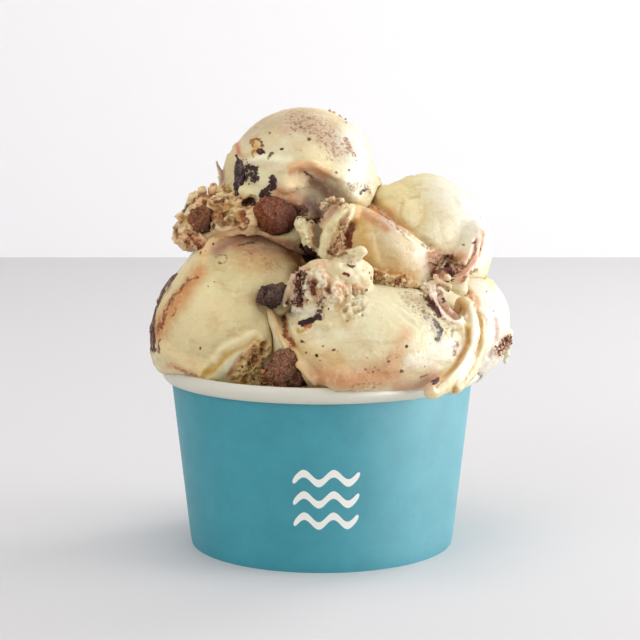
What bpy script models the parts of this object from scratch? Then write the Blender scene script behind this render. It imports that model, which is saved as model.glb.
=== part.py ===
"""A paper cup heaped with scoops of marbled gelato, with chunks of brownie and chocolate.

Metres, +Z up, the front of the cup at -Y. Everything is modelled about the cup's axis,
with the floor at z = 0, and is then moved so that the origin is at the bottom centre
of the whole, which the heap pulls a little to one side of the cup.
"""

import math

import bmesh
import bpy
from mathutils import Euler, Matrix, Vector, noise

# The paper cup
BASE_RADIUS = 0.0390
WALL_TOP_RADIUS = 0.0444
WALL_TOP = 0.0494
PAPER = 0.0005
HEM_THICKNESS = 0.0013
HEM_HEIGHT = 0.0050
ROLL_HALF_WIDTH = 0.0016
ROLL_HALF_HEIGHT = 0.0023
ROLL_HEIGHT = 0.0516
ROLL_STEPS = 9
CUP_STEPS = 48
DISC_THICKNESS = 0.0006
FILL_TOP = 0.0490
FILL_WAVE = 0.0007
FILL_DOME = 0.0040
FILL_RINGS = 6

# Space between pieces that touch
GAP = 0.0003

# The scoops: centre and half sizes of each ball, and its turn about Z in degrees
LEFT_CENTRE = (-0.0205, 0.0030, 0.0650)
LEFT_SIZE = (0.0283, 0.0375, 0.0288)
LEFT_TURN = -20
FRONT_CENTRE = (0.0135, -0.0215, 0.0625)
FRONT_SIZE = (0.0282, 0.0272, 0.0172)
TOP_CENTRE = (-0.0050, 0.0060, 0.1035)
TOP_SIZE = (0.0247, 0.0250, 0.0245)
RIGHT_CENTRE = (0.0300, 0.0070, 0.0865)
RIGHT_SIZE = (0.0203, 0.0220, 0.0215)
RIGHT_SHOULDER = (0.0215, 0.0000, 0.0920)
SHOULDER_SIZE = (0.0150, 0.0150, 0.0135)
REAR_CENTRE = (0.0270, 0.0080, 0.0640)
REAR_SIZE = (0.0255, 0.0365, 0.0215)
REAR_TURN = 22
REAR_BACK = (0.0010, 0.0260, 0.0600)
REAR_BACK_SIZE = (0.0190, 0.0150, 0.0150)

# Where a ball is pressed in (below zero) or bulges, as direction, depth and spread
LEFT_DENTS = [((-0.75, 0.0, 0.66), -0.0034, 0.55), ((-0.95, 0.0, -0.35), 0.0012, 0.50)]
TOP_DENTS = [((-0.70, 0.0, 0.70), -0.0008, 0.50)]
FRONT_DENTS = [((0.45, -0.1, 0.9), -0.0012, 0.45), ((-0.2, -0.8, -0.4), 0.0010, 0.6)]
REAR_DENTS = [((0.9, -0.3, 0.45), 0.0016, 0.45)]

# Soft unevenness of each body: height, size of the bumps and the seed of the noise
LEFT_BUMPS = (0.0012, 0.022, 1)
FRONT_BUMPS = (0.0010, 0.016, 2)
LUMP_BUMPS = (0.0022, 0.0035, 3)
TOP_BUMPS = (0.0010, 0.018, 4)
RIGHT_BUMPS = (0.0010, 0.018, 5)
REAR_BUMPS = (0.0012, 0.020, 6)
REAR_BACK_BUMPS = (0.0010, 0.012, 7)
FRILL_BUMP_SHARE = 0.45
FRILL_BUMP_SIZE_SHARE = 0.5
FRILL_FIRST_SEED = 10

# Faces kept on each scoop once its folds are fused to it
LEFT_FACES = 950
FRONT_FACES = 1650
TOP_FACES = 1900
RIGHT_FACES = 1300
REAR_FACES = 650
CHUNK_FACES = 120
FUSE_VOXEL = 0.0008
FUSE_SMOOTHING = 5
MERGE = 0.00001
SHARP_ANGLE = 50

# Chunks: centre, half sizes and the turn of each, in degrees
CHUNKS = {
    "brownie_middle": ((-0.0133, -0.0150, 0.0984), (0.0070, 0.0056, 0.0058), (0, 12, 8)),
    "brownie_low": ((-0.0092, -0.0352, 0.0572), (0.0078, 0.0056, 0.0056), (0, -8, 14)),
    "brownie_front": ((-0.0140, -0.0296, 0.0762), (0.0052, 0.0036, 0.0038), (0, -28, 10)),
    "cookie_bit": ((-0.0345, -0.0110, 0.0963), (0.0032, 0.0026, 0.0038), (0, 15, 0)),
    "chocolate_shard": ((-0.0236, -0.0100, 0.1095), (0.0018, 0.0016, 0.0074), (0, 6, -30)),
}
CHUNK_ROUGHNESS = 0.16
CHUNK_BUMPS = 2.3
CHUNK_SQUARING = 0.35
CHUNK_MIDDLE_REACH = 0.75

# Torn frill on the top scoop's left: lumps with their radii, and the tips that stick out
FRILL_LUMPS = [
    ((-0.0385, -0.0065, 0.0915), 0.0042), ((-0.0350, -0.0060, 0.0975), 0.0044),
    ((-0.0290, -0.0075, 0.0975), 0.0048), ((-0.0245, -0.0100, 0.0945), 0.0046),
    ((-0.0345, -0.0080, 0.0905), 0.0042), ((-0.0300, -0.0040, 0.0930), 0.0060),
    ((-0.0210, -0.0110, 0.0965), 0.0046), ((-0.0360, -0.0040, 0.1010), 0.0030),
]
FRILL_TIPS = [
    ((-0.0385, -0.0060, 0.0930), (-0.0428, -0.0060, 0.0936), 0.0016),
    ((-0.0350, -0.0060, 0.1010), (-0.0352, -0.0060, 0.1052), 0.0017),
    ((-0.0395, -0.0070, 0.0900), (-0.0402, -0.0080, 0.0868), 0.0013),
    ((-0.0360, -0.0085, 0.0880), (-0.0345, -0.0095, 0.0855), 0.0013),
    ((-0.0290, -0.0050, 0.1010), (-0.0303, -0.0050, 0.1122), 0.0012),
]

# Folds seen from the front, as (x, z) along their crests. Each profile is the height of its
# fold, below zero where it is sunk, and its half width.
TOP_LIP = [(-0.0108, 0.1088), (-0.0066, 0.1112), (-0.0022, 0.1120), (0.0025, 0.1104),
           (0.0066, 0.1070), (0.0088, 0.1036)]
TOP_LIP_PROFILE = (0.0026, 0.0024)
TOP_HOLLOW = [(-0.0010, 0.1015), (0.0020, 0.0985)]
TOP_HOLLOW_PROFILE = (-0.0052, 0.0075)
LEFT_LIP = [(-0.0345, 0.0860), (-0.0288, 0.0902), (-0.0212, 0.0922), (-0.0120, 0.0918)]
LEFT_LIP_PROFILE = (0.0012, 0.0030)
LEFT_RIDGE = [(-0.0165, 0.0655), (-0.0230, 0.0612), (-0.0310, 0.0545)]
LEFT_RIDGE_PROFILE = (0.0014, 0.0022)
LEFT_GROOVE = [(-0.0175, 0.0695), (-0.0255, 0.0640), (-0.0345, 0.0575)]
LEFT_GROOVE_PROFILE = (-0.0012, 0.0024)
FRONT_GROOVE = [(-0.0092, 0.0745), (-0.0090, 0.0690), (-0.0070, 0.0640), (-0.0020, 0.0590)]
FRONT_GROOVE_PROFILE = (-0.0014, 0.0016)
PETAL_CREASE = [(0.0150, 0.0965), (0.0165, 0.0905), (0.0185, 0.0850)]
PETAL_CREASE_PROFILE = (-0.0009, 0.0018)
REAR_CREASE = [(0.0505, 0.0700), (0.0500, 0.0620)]
REAR_CREASE_PROFILE = (-0.0009, 0.0016)
FRONT_FACING = 0.25

# The petal that folds forward off the right ball, and the line along which it is torn
PETAL_CENTRE = (0.0178, -0.0080, 0.0880)
PETAL_SIZE = (0.0150, 0.0155, 0.0175)
PETAL_TILT = -20
PETAL_INWARD = (0.0, 1.0, -0.25)
PETAL_EDGE_START = (0.0075, -0.0160, 0.1040)
PETAL_EDGE_END = (0.0315, -0.0190, 0.0885)

# Bands and rolls of gelato as chains of points with one radius each
RIGHT_RIBS = [
    ([(0.0395, -0.0270, 0.0745), (0.0418, -0.0300, 0.0680), (0.0402, -0.0345, 0.0610),
      (0.0360, -0.0400, 0.0555), (0.0300, -0.0455, 0.0530)], 0.0026),
    ([(0.0440, -0.0220, 0.0690), (0.0440, -0.0265, 0.0625), (0.0410, -0.0325, 0.0565),
      (0.0365, -0.0385, 0.0530)], 0.0026),
]
FRONT_LIP = [(-0.0143, -0.0275, 0.0715), (-0.0127, -0.0300, 0.0672), (-0.0104, -0.0325, 0.0630),
             (-0.0060, -0.0370, 0.0585), (-0.0015, -0.0415, 0.0555)]
FRONT_LIP_RADIUS = 0.0016
RIM_LIP_ANGLES = (-84, -48)
RIM_LIP_STEPS = 7
RIM_LIP_RADIUS = 0.0455
RIM_LIP_HEIGHT = 0.0572
RIM_LIP_THICKNESS = 0.0046
FRONT_LUMPS = [
    ((0.0010, -0.0285, 0.0790), (0.0100, 0.0090, 0.0080)),
    ((0.0085, -0.0290, 0.0830), (0.0060, 0.0055, 0.0050)),
]
FRONT_PEAK = [(0.0060, -0.0330, 0.0855), (0.0095, -0.0335, 0.0885), (0.0118, -0.0335, 0.0905)]
PEAK_FOOT_RADIUS = 0.0026
PEAK_TIP_RADIUS = 0.0014
FRONT_RUFFLE = [(0.0310, -0.0300, 0.0785), (0.0335, -0.0335, 0.0745), (0.0368, -0.0345, 0.0700),
                (0.0395, -0.0335, 0.0690)]
RUFFLE_RADIUS = 0.0019
POCKET_FOLDS = [
    ([(0.0440, -0.0085, 0.0935), (0.0425, -0.0125, 0.0870), (0.0395, -0.0175, 0.0815)], 0.0027),
    ([(0.0325, -0.0150, 0.0835), (0.0365, -0.0165, 0.0805), (0.0395, -0.0175, 0.0770)], 0.0024),
]
FLAKE_STRIPS = [
    ([(0.0005, -0.0205, 0.0835), (0.0025, -0.0220, 0.0915), (0.0055, -0.0205, 0.1000)], 0.0028),
    ([(0.0050, -0.0190, 0.0860), (0.0072, -0.0200, 0.0930), (0.0090, -0.0185, 0.1005)], 0.0024),
    ([(-0.0045, -0.0200, 0.0945), (-0.0035, -0.0210, 0.0890)], 0.0024),
]
SIDE_CRUMB = [(0.0515, -0.0100, 0.0590), (0.0545, -0.0100, 0.0600), (0.0552, -0.0100, 0.0640)]
SIDE_CRUMB_RADIUS = 0.0013
FLAKE_END_SHARE = 0.7
TIP_END_SHARE = 0.4
ROLL_SPACING = 0.7
LARGEST_SHELL_FACTOR = 1.3

# Colours and roughness
CREAM = (0.80, 0.70, 0.45)
BROWNIE = (0.10, 0.03, 0.015)
COOKIE = (0.22, 0.08, 0.04)
CHOCOLATE = (0.06, 0.03, 0.035)
TEAL = (0.045, 0.24, 0.30)
WHITE_CARD = (0.80, 0.80, 0.78)
CREAM_ROUGHNESS = 0.45
BROWNIE_ROUGHNESS = 0.60
COOKIE_ROUGHNESS = 0.70
CHOCOLATE_ROUGHNESS = 0.40
TEAL_ROUGHNESS = 0.60
CARD_ROUGHNESS = 0.55


def clear_scene():
    for obj in list(bpy.data.objects):
        bpy.data.objects.remove(obj, do_unlink=True)


def new_collection(name):
    collection = bpy.data.collections.new(name)
    bpy.context.scene.collection.children.link(collection)
    return collection


def new_material(name, colour, roughness):
    material = bpy.data.materials.new(name)
    material.use_nodes = True
    shader = material.node_tree.nodes["Principled BSDF"]
    shader.inputs["Base Color"].default_value = (*colour, 1.0)
    shader.inputs["Roughness"].default_value = roughness
    shader.inputs["Metallic"].default_value = 0.0
    return material


def new_object(name, bm, material, collection):
    """Make an object of a bmesh and free it."""
    mesh = bpy.data.meshes.new(name)
    bm.to_mesh(mesh)
    bm.free()
    obj = bpy.data.objects.new(name, mesh)
    if material:
        mesh.materials.append(material)
    collection.objects.link(obj)
    return obj


def apply_modifiers(obj):
    """Replace an object's mesh by what its modifiers make of it."""
    bpy.context.view_layer.update()
    evaluated = obj.evaluated_get(bpy.context.evaluated_depsgraph_get())
    mesh = bpy.data.meshes.new_from_object(evaluated)
    mesh.name = obj.name
    obj.modifiers.clear()
    obj.data = mesh


def turned(name, profile, material, collection):
    """Turn a closed profile of (radius, height), given down its outer side, about Z."""
    bm = bmesh.new()
    corners = [bm.verts.new((radius, 0.0, height)) for radius, height in profile]
    for corner, following in zip(corners, corners[1:] + corners[:1]):
        bm.edges.new((corner, following))
    obj = new_object(name, bm, material, collection)
    screw = obj.modifiers.new("Turn", "SCREW")
    screw.steps = CUP_STEPS
    screw.render_steps = CUP_STEPS
    screw.use_merge_vertices = True
    screw.merge_threshold = MERGE
    apply_modifiers(obj)
    return obj


def wall_radius(height):
    """Outer radius of the paper wall at a height."""
    return BASE_RADIUS + (WALL_TOP_RADIUS - BASE_RADIUS) * height / WALL_TOP


def wall_profile():
    """The wall with its rolled rim and folded hem."""
    roll_middle = WALL_TOP_RADIUS + ROLL_HALF_WIDTH - PAPER
    first, last = math.radians(125), math.radians(-125)
    profile = []
    for step in range(ROLL_STEPS + 1):
        angle = first + (last - first) * step / ROLL_STEPS
        profile.append((roll_middle + ROLL_HALF_WIDTH * math.cos(angle),
                        ROLL_HEIGHT + ROLL_HALF_HEIGHT * math.sin(angle)))
    profile.append((wall_radius(0), 0.0))
    profile.append((wall_radius(0) - HEM_THICKNESS, 0.0))
    profile.append((wall_radius(HEM_HEIGHT) - HEM_THICKNESS, HEM_HEIGHT))
    profile.append((wall_radius(HEM_HEIGHT) - PAPER, HEM_HEIGHT))
    profile.append((WALL_TOP_RADIUS - PAPER, WALL_TOP))
    return profile


def grown_profile(profile, gap):
    """A closed profile moved outwards by a gap on every side."""
    grown = []
    for index, point in enumerate(profile):
        before = (Vector(point) - Vector(profile[index - 1])).normalized()
        after = (Vector(profile[(index + 1) % len(profile)]) - Vector(point)).normalized()
        sides = [Vector((-run.y, run.x)) for run in (before, after)]
        moved = Vector(point) + gap * (sides[0] + sides[1]) / (1 + sides[0].dot(sides[1]))
        grown.append(tuple(moved))
    return grown


def base_profile():
    """The flat disc that rests on the hem."""
    bottom = HEM_HEIGHT + GAP
    radius = wall_radius(HEM_HEIGHT) - PAPER - GAP
    return [(0.0, bottom + DISC_THICKNESS), (radius, bottom + DISC_THICKNESS),
            (radius, bottom), (0.0, bottom)]


def fill_profile(gap=0.0):
    """Gelato pressed into the cup, with a gently waved top."""
    bottom = HEM_HEIGHT + DISC_THICKNESS + 2 * GAP
    top_radius = wall_radius(FILL_TOP) - PAPER - GAP + gap
    profile = []
    for ring in range(FILL_RINGS + 1):
        radius = top_radius * ring / FILL_RINGS
        lift = FILL_WAVE * math.cos(math.pi * ring)
        dome = FILL_DOME * (1 - (ring / FILL_RINGS) ** 2)
        profile.append((radius, FILL_TOP + dome + lift + gap))
    profile.append((wall_radius(bottom) - PAPER - GAP + gap, bottom - gap))
    profile.append((0.0, bottom - gap))
    return profile


def open_turned(name, profile, material, collection):
    """Turn a profile that starts and ends on the axis into a closed solid."""
    bm = bmesh.new()
    points = [bm.verts.new((radius, 0.0, height)) for radius, height in profile]
    for point, following in zip(points, points[1:]):
        bm.edges.new((point, following))
    bmesh.ops.spin(bm, geom=bm.verts[:] + bm.edges[:], axis=(0, 0, 1), cent=(0, 0, 0),
                   angle=math.tau, steps=CUP_STEPS, use_merge=True)
    bmesh.ops.remove_doubles(bm, verts=bm.verts, dist=MERGE)
    bmesh.ops.recalc_face_normals(bm, faces=bm.faces)
    return new_object(name, bm, material, collection)


def pressed(verts, centre, dents):
    """Push a ball's surface in or out round some directions from its centre."""
    for direction, depth, spread in dents:
        direction = Vector(direction).normalized()
        for vert in verts:
            outward = (vert.co - Vector(centre)).normalized()
            vert.co += outward * depth * math.exp(-(outward.angle(direction) / spread) ** 2)


def ball(bm, centre, size, turn=(0, 0, 0), subdivisions=5):
    """Add an ellipsoid to a bmesh and return its vertices."""
    rotation = Euler([math.radians(angle) for angle in turn]).to_matrix().to_4x4()
    place = Matrix.Translation(centre) @ rotation @ Matrix.Diagonal((*size, 1.0))
    made = bmesh.ops.create_icosphere(bm, subdivisions=subdivisions, radius=1.0, matrix=place)
    return made["verts"]


def along(path, spacing):
    """Points along a chain of straight runs, no further apart than a spacing."""
    points = [Vector(path[0])]
    for start, end in zip(path, path[1:]):
        start, end = Vector(start), Vector(end)
        count = max(1, math.ceil((end - start).length / spacing))
        points += [start.lerp(end, step / count) for step in range(1, count + 1)]
    return points


def roll(bm, path, radius, end_radius=None):
    """Add a rounded band of gelato as overlapping balls, thinning to an end radius."""
    points = along(path, radius * ROLL_SPACING)
    end_radius = end_radius or radius
    for index, point in enumerate(points):
        here = radius + (end_radius - radius) * index / max(1, len(points) - 1)
        ball(bm, point, (here, here, here), subdivisions=3)


def distance_to_path(x, z, path):
    """Distance in the front view from a point to a chain of runs."""
    point = Vector((x, z))
    best = math.inf
    for start, end in zip(path, path[1:]):
        start, end = Vector(start), Vector(end)
        run = end - start
        share = min(1.0, max(0.0, (point - start).dot(run) / run.length_squared))
        best = min(best, (point - start - run * share).length)
    return best


def press(bm, verts, path, profile):
    """Raise (or, for a height below zero, sink) the front surface along a path."""
    height, width = profile
    bm.normal_update()
    moves = []
    for vert in verts:
        if vert.normal.y < FRONT_FACING:
            distance = distance_to_path(vert.co.x, vert.co.z, path)
            lift = height * math.exp(-(distance / width) ** 2)
            moves.append((vert, vert.normal * lift))
    for vert, move in moves:
        vert.co += move


def uneven(bm, verts, bumps):
    """Give a surface soft unevenness along its normals."""
    height, scale, seed = bumps
    bm.normal_update()
    shift = Vector((seed * 7.3, seed * 3.1, seed * 5.7))
    moves = [(vert, vert.normal * height * noise.noise(vert.co / scale + shift)) for vert in verts]
    for vert, move in moves:
        vert.co += move


def fuse(obj, faces):
    """Fuse an object's overlapping bodies into one, with about this many triangles."""
    remesh = obj.modifiers.new("Fuse", "REMESH")
    remesh.mode = "VOXEL"
    remesh.voxel_size = FUSE_VOXEL
    smooth = obj.modifiers.new("Blend", "SMOOTH")
    smooth.factor = 0.5
    smooth.iterations = FUSE_SMOOTHING
    apply_modifiers(obj)
    triangles = sum(len(face.vertices) - 2 for face in obj.data.polygons)
    decimate = obj.modifiers.new("Thin", "DECIMATE")
    decimate.ratio = min(1.0, faces / triangles)
    decimate.use_collapse_triangulate = True
    apply_modifiers(obj)
    keep_largest(obj)


def keep_largest(obj):
    """Drop loose scraps, keep the body with the most vertices, and tidy slivers."""
    bm = bmesh.new()
    bm.from_mesh(obj.data)
    waiting = set(bm.verts)
    bodies = []
    while waiting:
        start = waiting.pop()
        body, front = {start}, [start]
        while front:
            for edge in front.pop().link_edges:
                for vert in edge.verts:
                    if vert in waiting:
                        waiting.remove(vert)
                        body.add(vert)
                        front.append(vert)
        bodies.append(body)
    largest = max(bodies, key=len)
    scraps = [vert for vert in bm.verts if vert not in largest]
    bmesh.ops.delete(bm, geom=scraps, context="VERTS")
    bmesh.ops.triangulate(bm, faces=bm.faces)
    bm.to_mesh(obj.data)
    bm.free()


def grown_copy(obj, gap, collection):
    """A cutter: a copy of a piece, grown by a gap along its normals."""
    bm = bmesh.new()
    bm.from_mesh(obj.data)
    bm.normal_update()
    for vert in bm.verts:
        vert.co += vert.normal * gap * min(vert.calc_shell_factor(), LARGEST_SHELL_FACTOR)
    cutter = new_object(obj.name + "_cutter", bm, None, collection)
    cutter.hide_render = True
    cutter.display_type = "WIRE"
    return cutter


def cut(obj, cutters):
    """Cut a piece by each cutter in turn, and keep its main body.

    The exact solver leaves some of these uneven bodies open or empty.
    """
    for cutter in cutters:
        boolean = obj.modifiers.new("Cut", "BOOLEAN")
        boolean.operation = "DIFFERENCE"
        boolean.solver = "MANIFOLD"
        boolean.object = cutter
        apply_modifiers(obj)
    keep_largest(obj)


def make_chunk(name, material, collection):
    """A rough, slightly squared lump of cake, cookie or chocolate."""
    centre, size, turn = CHUNKS[name]
    bm = bmesh.new()
    verts = ball(bm, (0, 0, 0), (1, 1, 1), subdivisions=3)
    shift = Vector(centre) * 1000
    for vert in verts:
        corner = max(abs(axis) for axis in vert.co)
        middle_share = 1.0 / (corner * math.sqrt(3)) - CHUNK_MIDDLE_REACH
        vert.co *= 1.0 + CHUNK_SQUARING * middle_share
        vert.co *= 1.0 + CHUNK_ROUGHNESS * noise.noise(vert.co * CHUNK_BUMPS + shift)
    rotation = Euler([math.radians(angle) for angle in turn]).to_matrix().to_4x4()
    bm.transform(Matrix.Translation(centre) @ rotation @ Matrix.Diagonal((*size, 1.0)))
    obj = new_object(name, bm, material, collection)
    decimate = obj.modifiers.new("Thin", "DECIMATE")
    decimate.ratio = CHUNK_FACES / len(obj.data.polygons)
    decimate.use_collapse_triangulate = True
    apply_modifiers(obj)
    return obj


def make_left(material, collection):
    """The big low scoop on the left, with a lip on top and a fold down to the rim."""
    bm = bmesh.new()
    verts = ball(bm, LEFT_CENTRE, LEFT_SIZE, (0, 0, LEFT_TURN), subdivisions=6)
    pressed(verts, LEFT_CENTRE, LEFT_DENTS)
    uneven(bm, verts, LEFT_BUMPS)
    press(bm, verts, LEFT_LIP, LEFT_LIP_PROFILE)
    press(bm, verts, LEFT_GROOVE, LEFT_GROOVE_PROFILE)
    press(bm, verts, LEFT_RIDGE, LEFT_RIDGE_PROFILE)
    obj = new_object("scoop_left", bm, material, collection)
    fuse(obj, LEFT_FACES)
    return obj


def make_front(material, collection):
    """The front scoop, which droops over the rim and ends in ribs on its right."""
    bm = bmesh.new()
    verts = ball(bm, FRONT_CENTRE, FRONT_SIZE, subdivisions=6)
    pressed(verts, FRONT_CENTRE, FRONT_DENTS)
    uneven(bm, verts, FRONT_BUMPS)
    press(bm, verts, FRONT_GROOVE, FRONT_GROOVE_PROFILE)
    for centre, size in FRONT_LUMPS:
        lump = ball(bm, centre, size, subdivisions=5)
        uneven(bm, lump, LUMP_BUMPS)
    first, last = (math.radians(angle) for angle in RIM_LIP_ANGLES)
    lip = []
    for step in range(RIM_LIP_STEPS + 1):
        angle = first + (last - first) * step / RIM_LIP_STEPS
        lip.append((RIM_LIP_RADIUS * math.cos(angle), RIM_LIP_RADIUS * math.sin(angle),
                    RIM_LIP_HEIGHT))
    roll(bm, lip, RIM_LIP_THICKNESS)
    for path, radius in RIGHT_RIBS:
        roll(bm, path, radius)
    roll(bm, FRONT_LIP, FRONT_LIP_RADIUS)
    roll(bm, FRONT_PEAK, PEAK_FOOT_RADIUS, PEAK_TIP_RADIUS)
    roll(bm, FRONT_RUFFLE, RUFFLE_RADIUS)
    obj = new_object("scoop_front", bm, material, collection)
    fuse(obj, FRONT_FACES)
    return obj


def make_top(material, collection):
    """The scoop on top, with a hollow under a folded lip and a torn frill on its left."""
    bm = bmesh.new()
    verts = ball(bm, TOP_CENTRE, TOP_SIZE, subdivisions=6)
    pressed(verts, TOP_CENTRE, TOP_DENTS)
    uneven(bm, verts, TOP_BUMPS)
    press(bm, verts, TOP_HOLLOW, TOP_HOLLOW_PROFILE)
    press(bm, verts, TOP_LIP, TOP_LIP_PROFILE)
    for index, (centre, radius) in enumerate(FRILL_LUMPS):
        lump = ball(bm, centre, (radius, radius, radius), subdivisions=4)
        uneven(bm, lump, (radius * FRILL_BUMP_SHARE, radius * FRILL_BUMP_SIZE_SHARE,
                          FRILL_FIRST_SEED + index))
    for start, end, radius in FRILL_TIPS:
        roll(bm, [start, end], radius, radius * TIP_END_SHARE)
    obj = new_object("scoop_top", bm, material, collection)
    fuse(obj, TOP_FACES)
    return obj


def make_petal(bm):
    """The petal: a ball cut off flat behind its torn upper edge."""
    petal = bmesh.new()
    verts = ball(petal, PETAL_CENTRE, PETAL_SIZE, (0, PETAL_TILT, 0), subdivisions=6)
    press(petal, verts, PETAL_CREASE, PETAL_CREASE_PROFILE)
    start, end = Vector(PETAL_EDGE_START), Vector(PETAL_EDGE_END)
    across = (end - start).cross(Vector(PETAL_INWARD)).normalized()
    if across.z < 0:
        across.negate()
    bmesh.ops.bisect_plane(petal, geom=petal.verts[:] + petal.edges[:] + petal.faces[:],
                           plane_co=start, plane_no=across, clear_outer=True)
    bmesh.ops.holes_fill(petal, edges=petal.edges, sides=0)
    bmesh.ops.triangulate(petal, faces=petal.faces)
    mesh = bpy.data.meshes.new("petal")
    petal.to_mesh(mesh)
    petal.free()
    bm.from_mesh(mesh)
    bpy.data.meshes.remove(mesh)


def make_right(material, collection):
    """The ball at the back right, its petal, the torn flake beside it and its folds."""
    bm = bmesh.new()
    for centre, size in ((RIGHT_CENTRE, RIGHT_SIZE), (RIGHT_SHOULDER, SHOULDER_SIZE)):
        uneven(bm, ball(bm, centre, size, subdivisions=6), RIGHT_BUMPS)
    make_petal(bm)
    for path, radius in POCKET_FOLDS:
        roll(bm, path, radius)
    for path, radius in FLAKE_STRIPS:
        roll(bm, path, radius, radius * FLAKE_END_SHARE)
    obj = new_object("scoop_right", bm, material, collection)
    fuse(obj, RIGHT_FACES)
    return obj


def make_rear(material, collection):
    """The low scoop that fills the right side and the back, with a crumb on its edge."""
    bm = bmesh.new()
    verts = ball(bm, REAR_CENTRE, REAR_SIZE, (0, 0, REAR_TURN), subdivisions=6)
    pressed(verts, REAR_CENTRE, REAR_DENTS)
    uneven(bm, verts, REAR_BUMPS)
    press(bm, verts, REAR_CREASE, REAR_CREASE_PROFILE)
    uneven(bm, ball(bm, REAR_BACK, REAR_BACK_SIZE), REAR_BACK_BUMPS)
    roll(bm, SIDE_CRUMB, SIDE_CRUMB_RADIUS)
    obj = new_object("scoop_rear", bm, material, collection)
    fuse(obj, REAR_FACES)
    return obj


def make_cup(collection):
    """The paper wall with its rim and hem, and the disc at its bottom."""
    white = new_material("white_card", WHITE_CARD, CARD_ROUGHNESS)
    teal = new_material("teal_paper", TEAL, TEAL_ROUGHNESS)
    turned("cup_wall", wall_profile(), teal, collection)
    open_turned("cup_base", base_profile(), white, collection)


def move_to_middle(collection):
    """Put the origin at the bottom centre of the whole."""
    corners = [vert.co for obj in collection.objects for vert in obj.data.vertices]
    middle = Vector([(min(corner[axis] for corner in corners)
                      + max(corner[axis] for corner in corners)) / 2 for axis in range(2)] + [0.0])
    for obj in collection.objects:
        obj.data.transform(Matrix.Translation(-middle))


def main():
    clear_scene()
    parts = new_collection("gelato_cup")
    cutters = new_collection("cutters")
    cream = new_material("gelato_cream", CREAM, CREAM_ROUGHNESS)
    colours = {"brownie": new_material("brownie_crumb", BROWNIE, BROWNIE_ROUGHNESS),
               "cookie": new_material("cookie_crumb", COOKIE, COOKIE_ROUGHNESS),
               "chocolate": new_material("dark_chocolate", CHOCOLATE, CHOCOLATE_ROUGHNESS)}
    make_cup(parts)
    open_turned("gelato_fill", fill_profile(), cream, parts)
    chunks = [make_chunk(name, colours[name.split("_")[0]], parts) for name in CHUNKS]

    left = make_left(cream, parts)
    front = make_front(cream, parts)
    top = make_top(cream, parts)
    right = make_right(cream, parts)
    rear = make_rear(cream, parts)

    wall_cutter = turned("wall_cutter", grown_profile(wall_profile(), GAP), None, cutters)
    fill_cutter = open_turned("fill_cutter", fill_profile(GAP), None, cutters)
    for cutter in (wall_cutter, fill_cutter):
        cutter.hide_render = True
        cutter.display_type = "WIRE"
    chunk_cutters = [grown_copy(chunk, GAP, cutters) for chunk in chunks]
    front_cutter, left_cutter, right_cutter, rear_cutter = [
        grown_copy(scoop, GAP, cutters) for scoop in (front, left, right, rear)]

    cut(front, [wall_cutter, fill_cutter] + chunk_cutters)
    cut(left, [wall_cutter, fill_cutter, front_cutter] + chunk_cutters)
    cut(right, [front_cutter, left_cutter] + chunk_cutters)
    cut(rear, [wall_cutter, fill_cutter, front_cutter, left_cutter, right_cutter])
    cut(top, [front_cutter, left_cutter, right_cutter, rear_cutter] + chunk_cutters)
    move_to_middle(parts)
    for obj in parts.objects:
        obj.data.shade_smooth()
        obj.data.set_sharp_from_angle(angle=math.radians(SHARP_ANGLE))


main()
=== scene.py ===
"""A cup of marbled gelato: printed paper cup, churned scoops, brownie, cookie and chocolate.

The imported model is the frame. The scoops are copies of its solids, remeshed finely and then
modelled and coloured with strokes. Each stroke lies where the photograph shows it, in pixels of
the 640 x 640 picture. The sides that the photograph doesn't show get their ripple by rule.
"""

import math
import random

import bmesh
import bpy
import numpy as np
from mathutils import Euler, Matrix, Vector, noise
from mathutils.bvhtree import BVHTree


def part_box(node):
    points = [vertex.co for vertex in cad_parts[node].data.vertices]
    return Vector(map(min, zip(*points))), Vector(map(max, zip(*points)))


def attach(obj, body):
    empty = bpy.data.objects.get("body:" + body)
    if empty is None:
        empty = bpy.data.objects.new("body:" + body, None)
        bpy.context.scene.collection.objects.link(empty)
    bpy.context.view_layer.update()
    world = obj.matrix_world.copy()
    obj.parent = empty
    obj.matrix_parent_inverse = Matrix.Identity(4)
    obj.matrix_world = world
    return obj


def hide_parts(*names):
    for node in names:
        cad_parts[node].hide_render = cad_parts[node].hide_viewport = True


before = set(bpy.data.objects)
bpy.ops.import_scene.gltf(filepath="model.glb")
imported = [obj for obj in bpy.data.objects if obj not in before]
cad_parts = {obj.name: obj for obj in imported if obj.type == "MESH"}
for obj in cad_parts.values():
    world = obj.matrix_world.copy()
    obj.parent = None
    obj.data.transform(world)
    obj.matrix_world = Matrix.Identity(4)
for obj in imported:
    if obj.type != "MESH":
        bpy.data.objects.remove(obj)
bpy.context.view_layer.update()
MM = 0.001

# The camera, placed from the cup's axis so that it sees the cup as the photograph does
PICTURE = 640
FOCAL_PIXELS = 1917.7
SENSOR = 36.0
TILT = math.radians(8.303)
CAMERA_PLACE = Vector((-0.00052, -0.5600, 0.1477))

wall_low, wall_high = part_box("cup_wall")
AXIS = Vector(((wall_low.x + wall_high.x) / 2, (wall_low.y + wall_high.y) / 2, 0.0))
EYE = AXIS + CAMERA_PLACE

# The paper cup, in metres
BASE_RADIUS = 0.0390
WALL_TOP_RADIUS = 0.0444
WALL_TOP = 0.0494
PAPER = 0.0005
HEM_THICKNESS = 0.0013
HEM_HEIGHT = 0.0050
ROLL_HALF_WIDTH = 0.0016
ROLL_HALF_HEIGHT = 0.0023
ROLL_HEIGHT = 0.0516
FOOT_INSET = 0.0002
CUP_STEPS = 256
WALL_LEVELS = 24

# The rim's curl: where it starts and ends, in degrees, and its inside as shares of its outside
CURL_ANGLES = (205, -128)
CURL_STEPS = 26
CURL_HOLLOW = (0.72, 0.80)

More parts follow.
